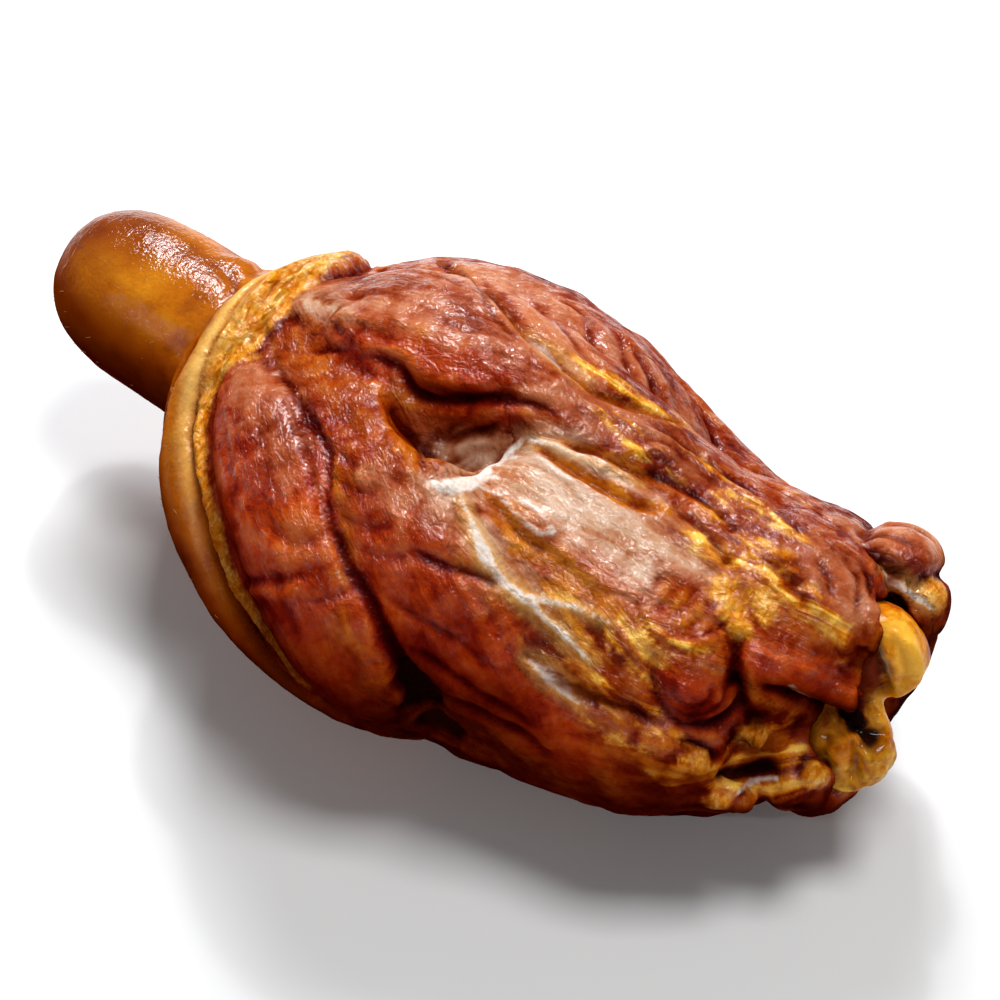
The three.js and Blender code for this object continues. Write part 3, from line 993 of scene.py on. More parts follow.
# %% The sinews past it, on the top
SINEWS = [
    [(38, 92), (42, 88), (47, 80), (52, 74), (56, 73)],
    [(44, 83), (51, 76), (58, 75), (67, 76)],
    [(67, 86), (77, 96), (86, 108)],
    [(40, 77), (53, 69), (69, 69), (87, 79)],
    [(26, 81), (35, 79), (45, 74), (56, 66)],
    [(60, 92), (70, 97), (80, 106)],
    [(62, 70), (76, 74), (90, 84)],
]
for sinew in SINEWS:
    press(sinew, 1.2, -0.9, ends=0.25)
    paint("gold", sinew, [0.4, 1.4, 0.4], rough=0.8)
paint("gold", [(66, 84), (76, 88), (88, 96), (96, 106)], [1, 3, 4, 3], rough=0.8)
press([(48, 85), (57, 81), (69, 83), (78, 90)], 1.3, 1.6, ends=0.2, dark=0.5)
press([(62, 88), (70, 93), (80, 101)], 1.1, 1.0, ends=0.2, dark=0.25)
press([(80, 90), (92, 100), (98, 108)], 1.3, 1.4, ends=0.2, dark=0.5)
press([(46, 71), (60, 65), (76, 68)], 1.3, 1.0, ends=0.3, dark=0.25)
paint(
    "film", [(34, 76), (48, 70), (60, 72), (72, 76), (80, 80)], [1, 3.5, 3.5, 4, 1], rough=0.6,
)
paint("orange", [(60, 84), (70, 90), (82, 96), (94, 104)], [1, 4, 5, 3], rough=0.8)
# The film and beige patches here paint mauve sheen and glints.
paint("film", [(47, 97), (56, 94), (65, 94), (74, 97)], [1, 4, 4, 1], rough=0.6)
paint("beige", [(55, 95), (62, 94), (69, 96)], [1, 2.6, 1], rough=0.9)
paint("film", [(88, 90), (94, 93), (100, 98), (104, 104)], [1, 3.6, 3.6, 1], rough=0.8)
print("sinews", len(SINEWS))

# %% [markdown]
# ## The fatty near side
# Past the flat muscle, thin fat stained gold by the smoke lies over the meat in patches.
# A rolled piece of muscle turns into it like a snail, under a bare red oval. The roll is
# one groove round its outside and the same groove drawn smaller twice inside it.

# %% The fatty side, the red oval and the rolled piece
paint("gold", [(46, 131), (58, 136), (68, 137), (76, 140)], [1.5, 5, 6, 3], rough=0.9)
paint("gold", [(50, 143), (60, 147), (72, 149), (84, 158)], [1, 4, 4, 3], rough=0.9)
paint("gold", [(66, 157), (78, 161), (90, 165), (98, 170)], [1.0, 3, 4, 4], rough=0.9)
wipe("gold", [(68, 132), (72, 134), (76, 136)], [1, 2.4, 1])
wipe("gold", [(77, 157), (82, 158), (87, 159)], [1, 2.4, 1])
paint("amber", [(70, 160), (80, 163), (92, 168)], [0.3, 1.2, 0.8], rough=1.2)
press([(54, 153), (63, 153), (74, 152.5), (84, 153)], 1.6, 1.9, ends=0.2, dark=0.8)
RED_OVAL = [(70, 116), (74, 120), (78, 124), (80, 125)]
for name in ("beige", "gold", "film"):
    wipe(name, RED_OVAL, [5, 8, 8, 5])
paint("orange", RED_OVAL, [4, 8, 8, 4], rough=0.2)
paint("lean", RED_OVAL, [3, 7, 7, 4], rough=0.3)
for start in (66, 70, 74, 78, 82):
    press([(start, 110), (start + 1, 118), (start - 1, 127)], 1.2, 0.7, ends=0.3)
press([(70, 128), (75, 130), (81, 128), (84, 121)], 1.0, -1.1, ends=0.2)
paint("gold", [(70, 128), (75, 130), (81, 128), (84, 121)], 0.8)
SNAIL = [(74, 133), (76, 141), (80, 148), (85, 152), (90, 152), (93, 146), (92, 138), (89, 130)]
press(SNAIL, 1.4, 1.8, ends=0.1, dark=0.4)
wipe("gold", [(78, 140), (84, 143), (89, 146)], [3, 6, 4])
paint("lean", [(78, 140), (84, 143), (89, 146)], [3, 6, 4])
for inner in (0.7, 0.45):
    coil = [(84 + (x - 84) * inner, 141 + (angle - 141) * inner) for x, angle in SNAIL]
    press(coil, 1.0, 0.8, ends=0.2, dark=0.2)
press([(86, 119), (88, 126), (90, 133), (92, 143)], 1.6, 3.0, dark=[0.2, 0.7, 0.7, 0.3])
press([(85, 157), (91, 159), (94, 165)], 1.5, 2.4, ends=0.2, dark=0.9)
NODULES = [
    (79, 108, 3.4, 0.9), (83, 113, 3.2, 0.9), (86, 118, 2.8, 0.9), (89, 110, 2.8, 0.8),
    (86, 106, 2.4, 0.6),
]
for x, angle, size, lift in NODULES:
    lump((x, angle), size, lift, "fat")
for x in (76, 79.5, 83):
    lump((x, 160), 1.9, 1.2, "orange")
print("gold fat", int((marks["gold"] > 0.5).sum()), "points")

# %% [markdown]
# ## The joint end
# The muscles end in ragged points round the joint. Between them there are lumps of fat,
# deep black gaps and the first waxy gristle of the joint. Lumps of three kinds of fat
# take turns in a loop, each a little different in size, because crumbly fat is uneven.

# %% The pointed end of the near muscle, and the gaps under it
press([(93, 99), (99, 105), (103, 110), (107, 115), (108, 120)], 1.5, -1.0, ends=0.2)
paint("gold", [(91, 97), (99, 105), (103, 110), (107, 115), (108, 120)], [0.6, 2.0, 2.0, 1.0])
paint("lean", [(92, 128), (99, 129), (106, 131), (111, 134)], [4, 6, 5.5, 3])
wipe("gold", [(96, 124), (103, 127), (109, 131)], [1, 4, 3])
# The dark mark in the groove under the tip is its painted shadow.
press([(93, 136), (100, 138), (106, 142), (110, 146)], 2.0, 3.6, ends=0.15, dark=0.7)
paint("pale", [(101, 134), (106, 139), (110, 142)], 0.35)
lump((109.5, 134), 3.2, 3.4, "lean")
lump((110, 138), 2.2, 1.6, "lean")
lump((109, 118), 3.0, -1.2)
for shade in (
    [(96, 122), (104, 125), (109, 128)], [(96, 127), (104, 130), (109, 133)],
    [(98, 132), (106, 136), (110, 139)],
):
    paint("dark", shade, [-1.2, 0.1, 0.2], rough=0)
press([(90, 136), (94, 146), (98, 157)], 1.5, 1.4, dark=0.3)
lump((95, 159), 3.4, 1.8, "fat")
lump((100, 152), 3.5, 1.4, "gold")
press([(94, 170), (98, 171.5), (101, 173), (105, 172)], 2.4, 4.5, ends=0.2, dark=2)
# The pale line below the gap is a painted glint.
paint("pale", [(99, 175.5), (104, 175.5)], 0.4)
LUMPS = [
    (96, 178), (101, 182), (105, 186), (91, 163), (96, 166), (107, 178), (97, 157), (100, 161),
    (103, 169), (111, 172),
]
for number, (x, angle) in enumerate(LUMPS):
    lump((x, angle), 2.6 + 0.5 * (number % 3), 1.7, ("fat", "amber", "gold")[number % 3])
press([(98, 178), (102, 176), (106, 181)], 1.0, 1.0, ends=0.3, dark=0.4)
print("lumps of fat", len(LUMPS) + len(NODULES))

# %% [markdown]
# The near shoulder and the end flap are pulled tight over the joint, so their skin
# gathers in short wrinkles. The shoulder's edge is given as (x, y, z), because a ray
# towards the leg's middle line would slide along the end of the meat and miss it.

# %% The near shoulder and the end flap
press([(104, 8, 74), (108, 3, 69), (110, -1, 62), (109, -5, 57)], 2.4, -2.2, ends=0.2)
paint("film", [(86, 84), (94, 86), (101, 91), (106, 96)], [3, 6, 6, 3])
for wrinkle in (
    [(95, 80), (101, 87), (104, 97), (106, 106)], [(99, 78), (104, 86), (106, 94)],
    [(90, 84), (96, 92), (100, 101)], [(104, 80), (107, 88), (108, 97)],
):
    press(wrinkle, 1.0, 0.8, ends=0.3, dark=0.05)
for fold in (
    [(99, 68), (105, 75), (108, 84)], [(103, 66), (108, 74), (111, 82)],
    [(107, 88), (108, 98), (108, 110)],
):
    press(fold, 1.3, 1.6, ends=0.25, dark=0.5)
paint("film", [(88, 46), (98, 55), (106, 56), (112, 55)], [3, 5, 5, 2])
press([(88, 56), (97, 64), (103, 70), (110, 70)], 1.6, 2.2, ends=0.2, dark=0.9)
paint("cream", [(104, 73), (109, 72), (113, 70), (116, 68)], [0.5, 2.0, 2.0, 1.0])
paint("pale", [(104, 73), (109, 72), (113, 70), (116, 68)], [0.3, 1.0, 0.8, 0.2])
lump((115, 64), 4, 0.6, "fat")
for fold in ([(96, 48), (104, 50), (110, 49)], [(92, 52), (100, 58), (108, 60)]):
    press(fold, 1.1, 0.8, ends=0.3, dark=0.3)
print("dark", int((marks["dark"] > 0.5).sum()), "points")

# %% [markdown]
# ## Where muscles meet
# The lines found on the CAD copy are pressed back in everywhere, so that the hidden
# sides have their folds too. On top and on the near side they are left shallow, because
# connective skin bridges the muscles there and the strokes above have made the folds.

# %% Press the seams back in
SEAM_WIDTH, SEAM_DEPTH = 1.8, 2.2
seam_gap = np.zeros(len(body))
seam_fold = np.zeros(len(body))
for number, point in enumerate(body):
    _, found, gap = seams.find(Vector(point) * MM)
    seam_gap[number] = gap / MM
    seam_fold[number] = seam_angles[found]
shown = ramp(angle_round, 60, 75) * ramp(angle_round, 235, 215)
bridged = shown * (0.7 + 0.2 * ramp(body[:, 0], 2, 14))
strength = ramp(seam_fold, 12, 60) * (1 - bridged)
wavered = np.abs(seam_gap + 0.7 * lumps(body, 5, 21))
seam_shape = np.exp(-((wavered / SEAM_WIDTH) ** 2)) * strength
clay.skin -= clay.outward * (SEAM_DEPTH * seam_shape)[:, None]
# The dark mark along the seams is painted shade.
clay.mark("dark", slice(None), 1.1 * strength - 0.5 - wavered - 3 * (strength < 0.25))
print("deepest seam", round(float(SEAM_DEPTH * seam_shape.max()), 2), "mm")

# %% [markdown]
# ## Surface of the meat and of the rind
# Bare meat shows the bundles of its fibres as long soft cords with finer ones between.
# Rind has shallow swellings and fine wrinkles that run round the leg. Both could be left
# to the material's bump, but then the outline would stay smooth, so what is larger than
# about 2 mm is carved here and only what is finer goes into the material.

# %% What lies where
on_rind = ramp(marks["rind"], 0.45, 0.55)
on_film = ramp(np.maximum(marks["film"], marks["beige"]), 0.35, 0.6)
on_fat = ramp(np.maximum(marks["fat"], marks["gold"]), 0.4, 0.6)
striped = (1 - on_rind) * (1 - 0.8 * on_film) * (1 - 0.5 * on_fat) * inside_muscle
print(
    "rind", round(float(on_rind.mean()), 2), "skin", round(float(on_film.mean()), 2), "fat",
    round(float(on_fat.mean()), 2),
)

# %% Bundles, lumps and wrinkles
clay.outward = normals_of(clay.skin, clay.quads)
bundles = lumps(grain / np.array((26, 5.2, 1)), 1, 1)
threads = lumps(grain / np.array((12, 2.4, 1)), 1, 2)
folds = lumps(grain / np.array((7, 14, 1)), 1, 3)
relief = (1 - on_rind) * (
    0.55 * lumps(body, 15, 1) + 0.35 * lumps(body, 6.5, 2) + 0.15 * lumps(body, 3.4, 3)
)
relief += striped * (0.40 * bundles - 0.22 * np.exp(-((bundles / 0.16) ** 2)) + 0.14 * threads)
relief += (1 - on_rind) * inside_muscle * 0.25 * folds
relief += (1 - on_rind) * on_fat * 0.35 * lumps(body, 3.2, 4)
round_leg = np.stack([body[:, 0] / 2.6, angle_round / 14, np.zeros(len(body))], axis=1)
relief += on_rind * (
    0.35 * lumps(body, 13, 5) + 0.10 * lumps(round_leg, 1, 6) + 0.07 * lumps(body, 3, 7)
)
clay.skin += clay.outward * relief[:, None]
clay.skin = relax(clay.skin, clay.quads, 0.3, 1)
clay.skin[:, 2] = np.maximum(clay.skin[:, 2], 0.0)
clay.outward = normals_of(clay.skin, clay.quads)
print("relief from", round(float(relief.min()), 2), "to", round(float(relief.max()), 2), "mm")

# %% [markdown]
# The colour is painted darker in low places, as painted shade, and lighter on high ones,
# as a painted highlight, and the coat thins in the low places. The mesh is blurred a
# little and a lot, and the gap between it and its blurred copies says how high or low
# each point stands, over a small and over a large distance.

# %% High and low places, for the material
near_blur = relax(clay.skin, clay.quads, 0.5, 6)
far_blur = relax(near_blur, clay.quads, 0.5, 30)
small_rise = ((clay.skin - near_blur) * clay.outward).sum(1)
large_rise = ((clay.skin - far_blur) * clay.outward).sum(1)
SMALL_SHARE, LARGE_SHARE = 0.75, 0.2083
fields = {}
fields["rise"] = np.clip(0.5 + SMALL_SHARE * small_rise + LARGE_SHARE * large_rise, 0, 1)
fields["hollow"] = ramp(-large_rise, 0.35, 2.2)
fields["valley"] = ramp(-small_rise, 0.02, 0.30)
# Points that face down get painted shade below, less where they face straight down, and those that
# face sideways get painted side shade. Those that face up get a thicker coat.
upward = normals_of(far_blur, clay.quads)[:, 2]
flat_below = ramp(upward, -0.4, -0.8)
facing_down = ramp(upward, 0.70, -0.25) * (1 - 0.6 * flat_below)
fields["up"] = ramp(upward, 0.30, 0.95)
fields["side"] = ramp(upward, 0.88, 0.25)
fields["soot"] = np.clip(facing_down + 0.10 * lumps(body, 18, 9), 0, 1)
fields["inside"] = inside_muscle
print(
    "hollows to", round(float(-large_rise.min()), 2), "mm, sooty",
    round(float(fields["soot"].mean()), 2),
)

# %% Write the result
clay.write(fields)
layer = meat.data.attributes.new("grain", "FLOAT_VECTOR", "POINT")
layer.data.foreach_set("vector", (grain * MM).astype(np.float32).ravel())
bpy.context.view_layer.objects.active = meat
meat.select_set(True)
bpy.ops.object.shade_smooth()
print("attributes", len(meat.data.attributes))

# %% [markdown]
# ## The meat's material
# On the real thing rind, fat, connective skin and meat run into each other, and a border
# between two materials would always be a hard line of faces. So one material covers the
# whole piece. The marks made while carving say what lies where, fine noise makes their
# edges ragged, and each has its own colours, shine and small relief. A few helpers keep
# the node tree readable as sums.

# %% Helpers: nodes, sums and mixes
def add(tree, kind, links=None, **settings):
    """Adds a node, sets its options, and fills its inputs with values or links."""
    made = tree.nodes.new(kind)
    for name, value in settings.items():
        setattr(made, name, value)
    for name, value in (links or {}).items():
        if isinstance(value, bpy.types.NodeSocket):
            tree.links.new(value, made.inputs[name])
        else:
            made.inputs[name].default_value = value
    return made


def maths(tree, operation, first, second=0.0, third=0.0):
    """One step of arithmetic."""
    made = add(tree, "ShaderNodeMath", {0: first, 1: second, 2: third}, operation=operation)
    return made.outputs[0]


def blend(tree, *parts):
    """A sum of values, each times its share."""
    total = 0.0
    for value, share in parts:
        total = maths(tree, "MULTIPLY_ADD", value, share, total)
    return total


def mix(tree, share, first, second, kind="MIX"):
    """A share of the second colour over the first."""
    made = add(
        tree, "ShaderNodeMix", {0: share, 6: first, 7: second}, data_type="RGBA",
        blend_type=kind,
    )
    return made.outputs[2]


def mix_value(tree, share, first, second):
    """A share of the second value, and the rest of the first."""
    made = add(tree, "ShaderNodeMix", {0: share, 2: first, 3: second}, data_type="FLOAT")
    return made.outputs[0]


def tinted(tree, share, colour, tint):
    """A colour, multiplied by a tint where the share is 1."""
    return mix(tree, share, colour, mix(tree, 1.0, colour, tint, kind="MULTIPLY"))


print("helpers", [helper.__name__ for helper in (add, maths, blend, mix, mix_value, tinted)])


# %% Helpers: noise, colours and ranges
def noise(tree, place, size, detail=3.0, roughness=0.5, distortion=0.0):
    """Noise with lumps of a size in millimetres."""
    links = {
        "Vector": place,
        "Scale": 1 / (size * MM),
        "Detail": detail,
        "Roughness": roughness,
        "Distortion": distortion,
    }
    return add(tree, "ShaderNodeTexNoise", links).outputs["Fac"]


def stretch(tree, place, times):
    """A place made longer (below 1) or shorter along each axis."""
    made = add(tree, "ShaderNodeVectorMath", {0: place, 1: times}, operation="MULTIPLY")
    return made.outputs[0]


def colours(tree, value, stops):
    """A run of colours, from a list of positions and colours."""
    made = add(tree, "ShaderNodeValToRGB", {0: value})
    run = made.color_ramp
    run.elements[0].position, run.elements[0].color = stops[0][0], (*stops[0][1], 1)
    run.elements[1].position, run.elements[1].color = stops[-1][0], (*stops[-1][1], 1)
    for position, colour in stops[1:-1]:
        run.elements.new(position).color = (*colour, 1)
    return made.outputs[0]


def between(tree, value, low, high, to_low=0.0, to_high=1.0):
    """Stretches a value's range from low..high to to_low..to_high, softly."""
    made = add(
        tree,
        "ShaderNodeMapRange",
        {
            "Value": value, "From Min": low, "From Max": high, "To Min": to_low,
            "To Max": to_high,
        },
        interpolation_type="SMOOTHSTEP",
    )
    return made.outputs[0]


def field(tree, name):
    """A mark or a height that the points carry."""
    return add(tree, "ShaderNodeAttribute", attribute_name=name).outputs["Fac"]


print("helpers", [helper.__name__ for helper in (noise, stretch, colours, between, field)])

# %% [markdown]
# ## Two effects that meat and gristle share
# A mark with a frayed edge, and the painted shade in folds and gaps, come back in both materials.
# Each is built once as a node group with named sockets, and every use of it gets its own
# values. A group shows as one box in the shader editor, so the tree stays easy to read,
# and a change inside it reaches both materials.

# %% Make and place a node group
COLOUR, VALUE = "NodeSocketColor", "NodeSocketFloat"


def new_group(name, inputs, outputs):
    """An empty node group with named sockets: its tree, what it is given and its result."""
    group = bpy.data.node_groups.new(name, "ShaderNodeTree")
    for way, sockets in (("INPUT", inputs), ("OUTPUT", outputs)):
        for socket, kind in sockets.items():
            group.interface.new_socket(socket, in_out=way, socket_type=kind)
    given = group.nodes.new("NodeGroupInput").outputs
    result = group.nodes.new("NodeGroupOutput").inputs
    return group, given, result


def place_group(tree, group, links):
    """Puts a node group into a material, with its own values and links."""
    made = tree.nodes.new("ShaderNodeGroup")
    made.node_tree = group
    for name, value in links.items():
        if isinstance(value, bpy.types.NodeSocket):
            tree.links.new(value, made.inputs[name])
        else:
            made.inputs[name].default_value = value
    return made.outputs


print("socket kinds", COLOUR, VALUE)

# %% [markdown]
# A frayed edge is the mark's distance from its edge, pushed back and forth by a noise,
# and then cut off at its middle over a narrow or a wide blur.

# %% The frayed mark
FRAY_INPUTS = {"Mark": VALUE, "Fray": VALUE, "Depth": VALUE, "Edge": VALUE}
frayed_mark, given, result = new_group("frayed_mark", FRAY_INPUTS, {"Mask": VALUE})
push = maths(frayed_mark, "MULTIPLY_ADD", given["Fray"], 2.0, -1.0)
push = maths(frayed_mark, "MULTIPLY", push, given["Depth"])
pushed_mark = maths(frayed_mark, "ADD", given["Mark"], push)
edge_low = maths(frayed_mark, "SUBTRACT", 0.5, given["Edge"])
edge_high = maths(frayed_mark, "ADD", 0.5, given["Edge"])
frayed_mark.links.new(between(frayed_mark, pushed_mark, edge_low, edge_high), result["Mask"])


def ragged(tree, name, fray, depth, edge):
    """A carved mark, with its edge frayed by a noise to a depth and blurred over an
    edge, both in millimetres."""
    unit = 1 / (2 * SOFTNESS[name])
    links = {
        "Mark": field(tree, name), "Fray": fray, "Depth": depth * unit, "Edge": edge * unit,
    }
    return place_group(tree, frayed_mark, links)["Mask"]


print("nodes in a frayed mark", len(frayed_mark.nodes))

# %% [markdown]
# Shade is painted into folds and gaps in two steps: dusk, which tints whatever colour lies
# there, and black in the very bottom.

# %% Painted shade in folds
DARK_INPUTS = {
    "Color": COLOUR, "Mark": VALUE, "Dusk": VALUE, "Dusk Tint": COLOUR,
    "Black": COLOUR, "Black From": VALUE, "Black At": VALUE, "Black Share": VALUE,
}
painted_fold_shade, given, result = new_group("painted_fold_shade", DARK_INPUTS, {"Color": COLOUR})
dusky = tinted(painted_fold_shade, given["Dusk"], given["Color"], given["Dusk Tint"])
black_share = between(painted_fold_shade, given["Mark"], given["Black From"], given["Black At"])
black_share = maths(painted_fold_shade, "MULTIPLY", black_share, given["Black Share"])
painted_fold_shade.links.new(mix(painted_fold_shade, black_share, dusky, given["Black"]), result["Color"])
BLACK_FROM = 0.54


def darkened(tree, colour, dusk, tint, black, black_at, black_share):
    """Dusk round the dark marks, and black inside them."""
    links = {
        "Color": colour, "Mark": field(tree, "dark"), "Dusk": dusk, "Dusk Tint": tint,
        "Black": black, "Black From": BLACK_FROM, "Black At": black_at, "Black Share": black_share,
    }
    return place_group(tree, painted_fold_shade, links)["Color"]


print("node groups", [group.name for group in bpy.data.node_groups])

# %% [markdown]
# ## The meat's noises
# A few noises, each of one size, colour the whole piece and raise its relief, so that a
# dark spot is also a low one. Those of the fibres are stretched along the grain that the
# points carry, and the rest read Object coordinates, which need no unwrapping.

# %% Noises that the colours and the relief share
smoked = bpy.data.materials.new("smoked_meat_and_rind")
smoked.use_nodes = True
tree = smoked.node_tree
shader = tree.nodes["Principled BSDF"]
place = add(tree, "ShaderNodeTexCoord").outputs["Object"]
fibres = add(tree, "ShaderNodeAttribute", attribute_name="grain").outputs["Vector"]
patches = noise(tree, place, 20, detail=2)
mottle = noise(tree, place, 6, detail=4, roughness=0.62, distortion=0.3)
specks = noise(tree, place, 1.5, detail=3, roughness=0.6)
inside = field(tree, "inside")


def along_fibres(tree, value):
    """A noise laid along the fibres, which gives way to an even one where two muscles
    meet, because their fibres don't join up."""
    return mix_value(tree, inside, mottle, value)


bands = noise(
    tree, stretch(tree, fibres, (0.16, 1, 1)), 4.5, detail=4, roughness=0.6, distortion=0.5,
)
bands = along_fibres(tree, bands)
crinkle = noise(
    tree, stretch(tree, fibres, (0.50, 1, 1)), 1.8, detail=3, roughness=0.5, distortion=1.0,
)
rise = field(tree, "rise")
# The rise share lightens raised places as a painted highlight and darkens low ones as painted
# shade.
tone = blend(
    tree,
    (patches, 0.40),
    (bands, 0.24),
    (mottle, 0.36),
    (specks, 0.10),
    (rise, 0.22),
    (1.0, -0.005),
)
print("nodes so far", len(tree.nodes))

# %% [markdown]
# ## The meat's colours
# They are laid on from the deepest up, as on the real thing: meat, the connective skin
# over it, fat over that, and rind over all. A tone made of noises and of how high each
# point stands picks a colour from near black through dark red to orange, so raised places
# get a painted highlight and low ones painted shade.

# %% Bare meat
colour = colours(tree, tone, [
    (0.52, (0.070, 0.003, 0.001)),
    (0.62, (0.200, 0.014, 0.001)),
    (0.72, (0.360, 0.058, 0.003)),
    (0.84, (0.560, 0.170, 0.010)),
])
colour = mix(tree, ragged(tree, "lean", mottle, 3, 3), colour, colours(tree, tone, [
    (0.52, (0.100, 0.002, 0.001)),
    (0.62, (0.230, 0.010, 0.001)),
    (0.72, (0.400, 0.040, 0.002)),
    (0.88, (0.600, 0.130, 0.014)),
]))
colour = mix(tree, ragged(tree, "orange", mottle, 3, 3.5), colour, colours(tree, tone, [
    (0.52, (0.190, 0.013, 0.001)),
    (0.64, (0.320, 0.042, 0.001)),
    (0.80, (0.560, 0.150, 0.004)),
]))
print("nodes with bare meat", len(tree.nodes))

# %% [markdown]
# The skin that wraps a muscle is thin and lets the red through as mauve. The same mark
# also paints the broad mauve sheen of the wet tops, so it is partly painted sheen. Where
# the skin is thicker it dries beige, and that mark also paints silvery sheen and glints in
# a few places. Both are laid on as a large share of the colour and never as all of it,
# because a full cover would look like a coat of paint.

# %% Connective skin over meat: mauve, and beige where it is thicker, partly painted sheen
film_fray = blend(tree, (bands, 0.5), (mottle, 0.5))
film_mask = ragged(tree, "film", film_fray, 6, 4)
colour = mix(tree, maths(tree, "MULTIPLY", film_mask, 0.88), colour, colours(tree, tone, [
    (0.52, (0.160, 0.014, 0.002)),
    (0.64, (0.360, 0.080, 0.024)),
    (0.78, (0.540, 0.200, 0.096)),
]))
beige_mask = ragged(tree, "beige", film_fray, 5, 4)
beige_tone = blend(tree, (tone, 0.55), (bands, 0.30), (crinkle, 0.15), (1.0, 0.02))
colour = mix(tree, maths(tree, "MULTIPLY", beige_mask, 0.9), colour, colours(tree, beige_tone, [
    (0.50, (0.280, 0.050, 0.006)),
    (0.56, (0.440, 0.170, 0.070)),
    (0.62, (0.540, 0.320, 0.195)),
    (0.72, (0.660, 0.480, 0.360)),
]))
print("nodes with skin", len(tree.nodes))

# %% [markdown]
# Smoke stains thin fat gold in streaks along the fibres. The thick band under the rind
# stays yellow, in small lobes with darker joins, which a Voronoi texture gives.

# %% Fat, stained gold by the smoke
long_bands = noise(
    tree, stretch(tree, fibres, (0.22, 1, 1)), 5.5, detail=3, roughness=0.55, distortion=0.8,
)
long_bands = along_fibres(tree, long_bands)
streaks = blend(tree, (long_bands, 0.60), (mottle, 0.32), (specks, 0.08))
gold_mask = ragged(tree, "gold", streaks, 6, 2)
colour = mix(tree, gold_mask, colour, colours(tree, streaks, [
    (0.44, (0.150, 0.012, 0.001)),
    (0.50, (0.390, 0.075, 0.001)),
    (0.55, (0.640, 0.215, 0.003)),
    (0.61, (0.900, 0.530, 0.080)),
]))
print("nodes with gold fat", len(tree.nodes))

# %% Thick fat, pale and stringy
LOBE_SIZE = 2.6 * MM
round_the_leg = stretch(tree, place, (1.0, 0.4, 0.4))
stringy = noise(tree, round_the_leg, 1.5, detail=3, roughness=0.6, distortion=0.8)
fat_mask = ragged(tree, "fat", specks, 1.2, 1.2)
fat_colour = colours(tree, blend(tree, (stringy, 0.55), (mottle, 0.45)), [
    (0.42, (0.500, 0.130, 0.002)),
    (0.51, (0.740, 0.300, 0.014)),
    (0.62, (0.890, 0.560, 0.160)),
])
links = {"Vector": round_the_leg, "Scale": 1 / LOBE_SIZE, "Randomness": 1.0}
lobes = add(tree, "ShaderNodeTexVoronoi", links, feature="DISTANCE_TO_EDGE")
between_lobes = maths(tree, "MULTIPLY_ADD", specks, 0.30, lobes.outputs["Distance"])
between_lobes = between(tree, between_lobes, 0.10, 0.32, 1.0, 0.0)
fat_colour = mix(
    tree, maths(tree, "MULTIPLY", between_lobes, 0.6), fat_colour, (0.560, 0.190, 0.012, 1),
)
colour = mix(tree, fat_mask, colour, fat_colour)
print("nodes with all fat", len(tree.nodes))

# %% [markdown]
# Rind is smooth amber skin. One mark makes it darker and browner at the shank's end and
# top, and paints shade on its near lower side and on the lower outside of the rolled edge.
# The crest of the rolled edge is stretched thin, and the fat under it shows through as
# cream, which is partly a painted highlight.

# %% Rind, with a cream crest on its rolled edge, partly a painted highlight
CREAM_AND_SHEEN = (0.86, 0.49, 0.12, 1)
BROWN_AND_SHADE_TINT = (0.50, 0.33, 0.25, 1)
skin_tone = blend(tree, (patches, 0.6), (mottle, 0.4))
rind_colour = colours(tree, skin_tone, [
    (0.34, (0.22, 0.036, 0.001)),
    (0.50, (0.46, 0.120, 0.001)),
    (0.66, (0.62, 0.220, 0.006)),
])
cream_mask = ragged(tree, "cream", specks, 1.2, 3.0)
rind_colour = mix(tree, cream_mask, rind_colour, CREAM_AND_SHEEN)
rind_colour = tinted(tree, ragged(tree, "brown", mottle, 6, 9), rind_colour, BROWN_AND_SHADE_TINT)
rind_mask = ragged(tree, "rind", specks, 0.8, 0.6)
colour = mix(tree, maths(tree, "MULTIPLY", cream_mask, 0.7), colour, CREAM_AND_SHEEN)
colour = mix(tree, rind_mask, colour, rind_colour)
print("nodes with rind", len(tree.nodes))

# %% [markdown]
# Last come thin lines: amber where a slot shows the fat below, and white threads of dry
# skin, whose white mark also paints a few glints. Many are no wider than a square of the
# mesh, so only a mark that is kept as a distance can draw them.

# %% Thin lines over it: amber slots, white threads and painted glints
colour = mix(tree, ragged(tree, "amber", specks, 1, 0.9), colour, colours(tree, mottle, [
    (0.35, (0.280, 0.040, 0.001)),
    (0.62, (0.580, 0.180, 0.006)),
]))
pale_mask = ragged(tree, "pale", specks, 0.6, 0.5)
colour = mix(tree, pale_mask, colour, colours(tree, specks, [
    (0.35, (0.66, 0.50, 0.38)),
    (0.60, (0.78, 0.70, 0.64)),
]))
print("nodes with thin lines", len(tree.nodes))

# %% [markdown]
# ## Painted shade
# Shade is painted into the colour: deeper on the sides, dark below, and darker in
# valleys, hollows and folds. It lets the colour below show, so it is a tint that
# multiplies that colour, and not a brown of its own. Fat and white threads take less of
# the side shade, and rind, skin and fat less of the valley shade.

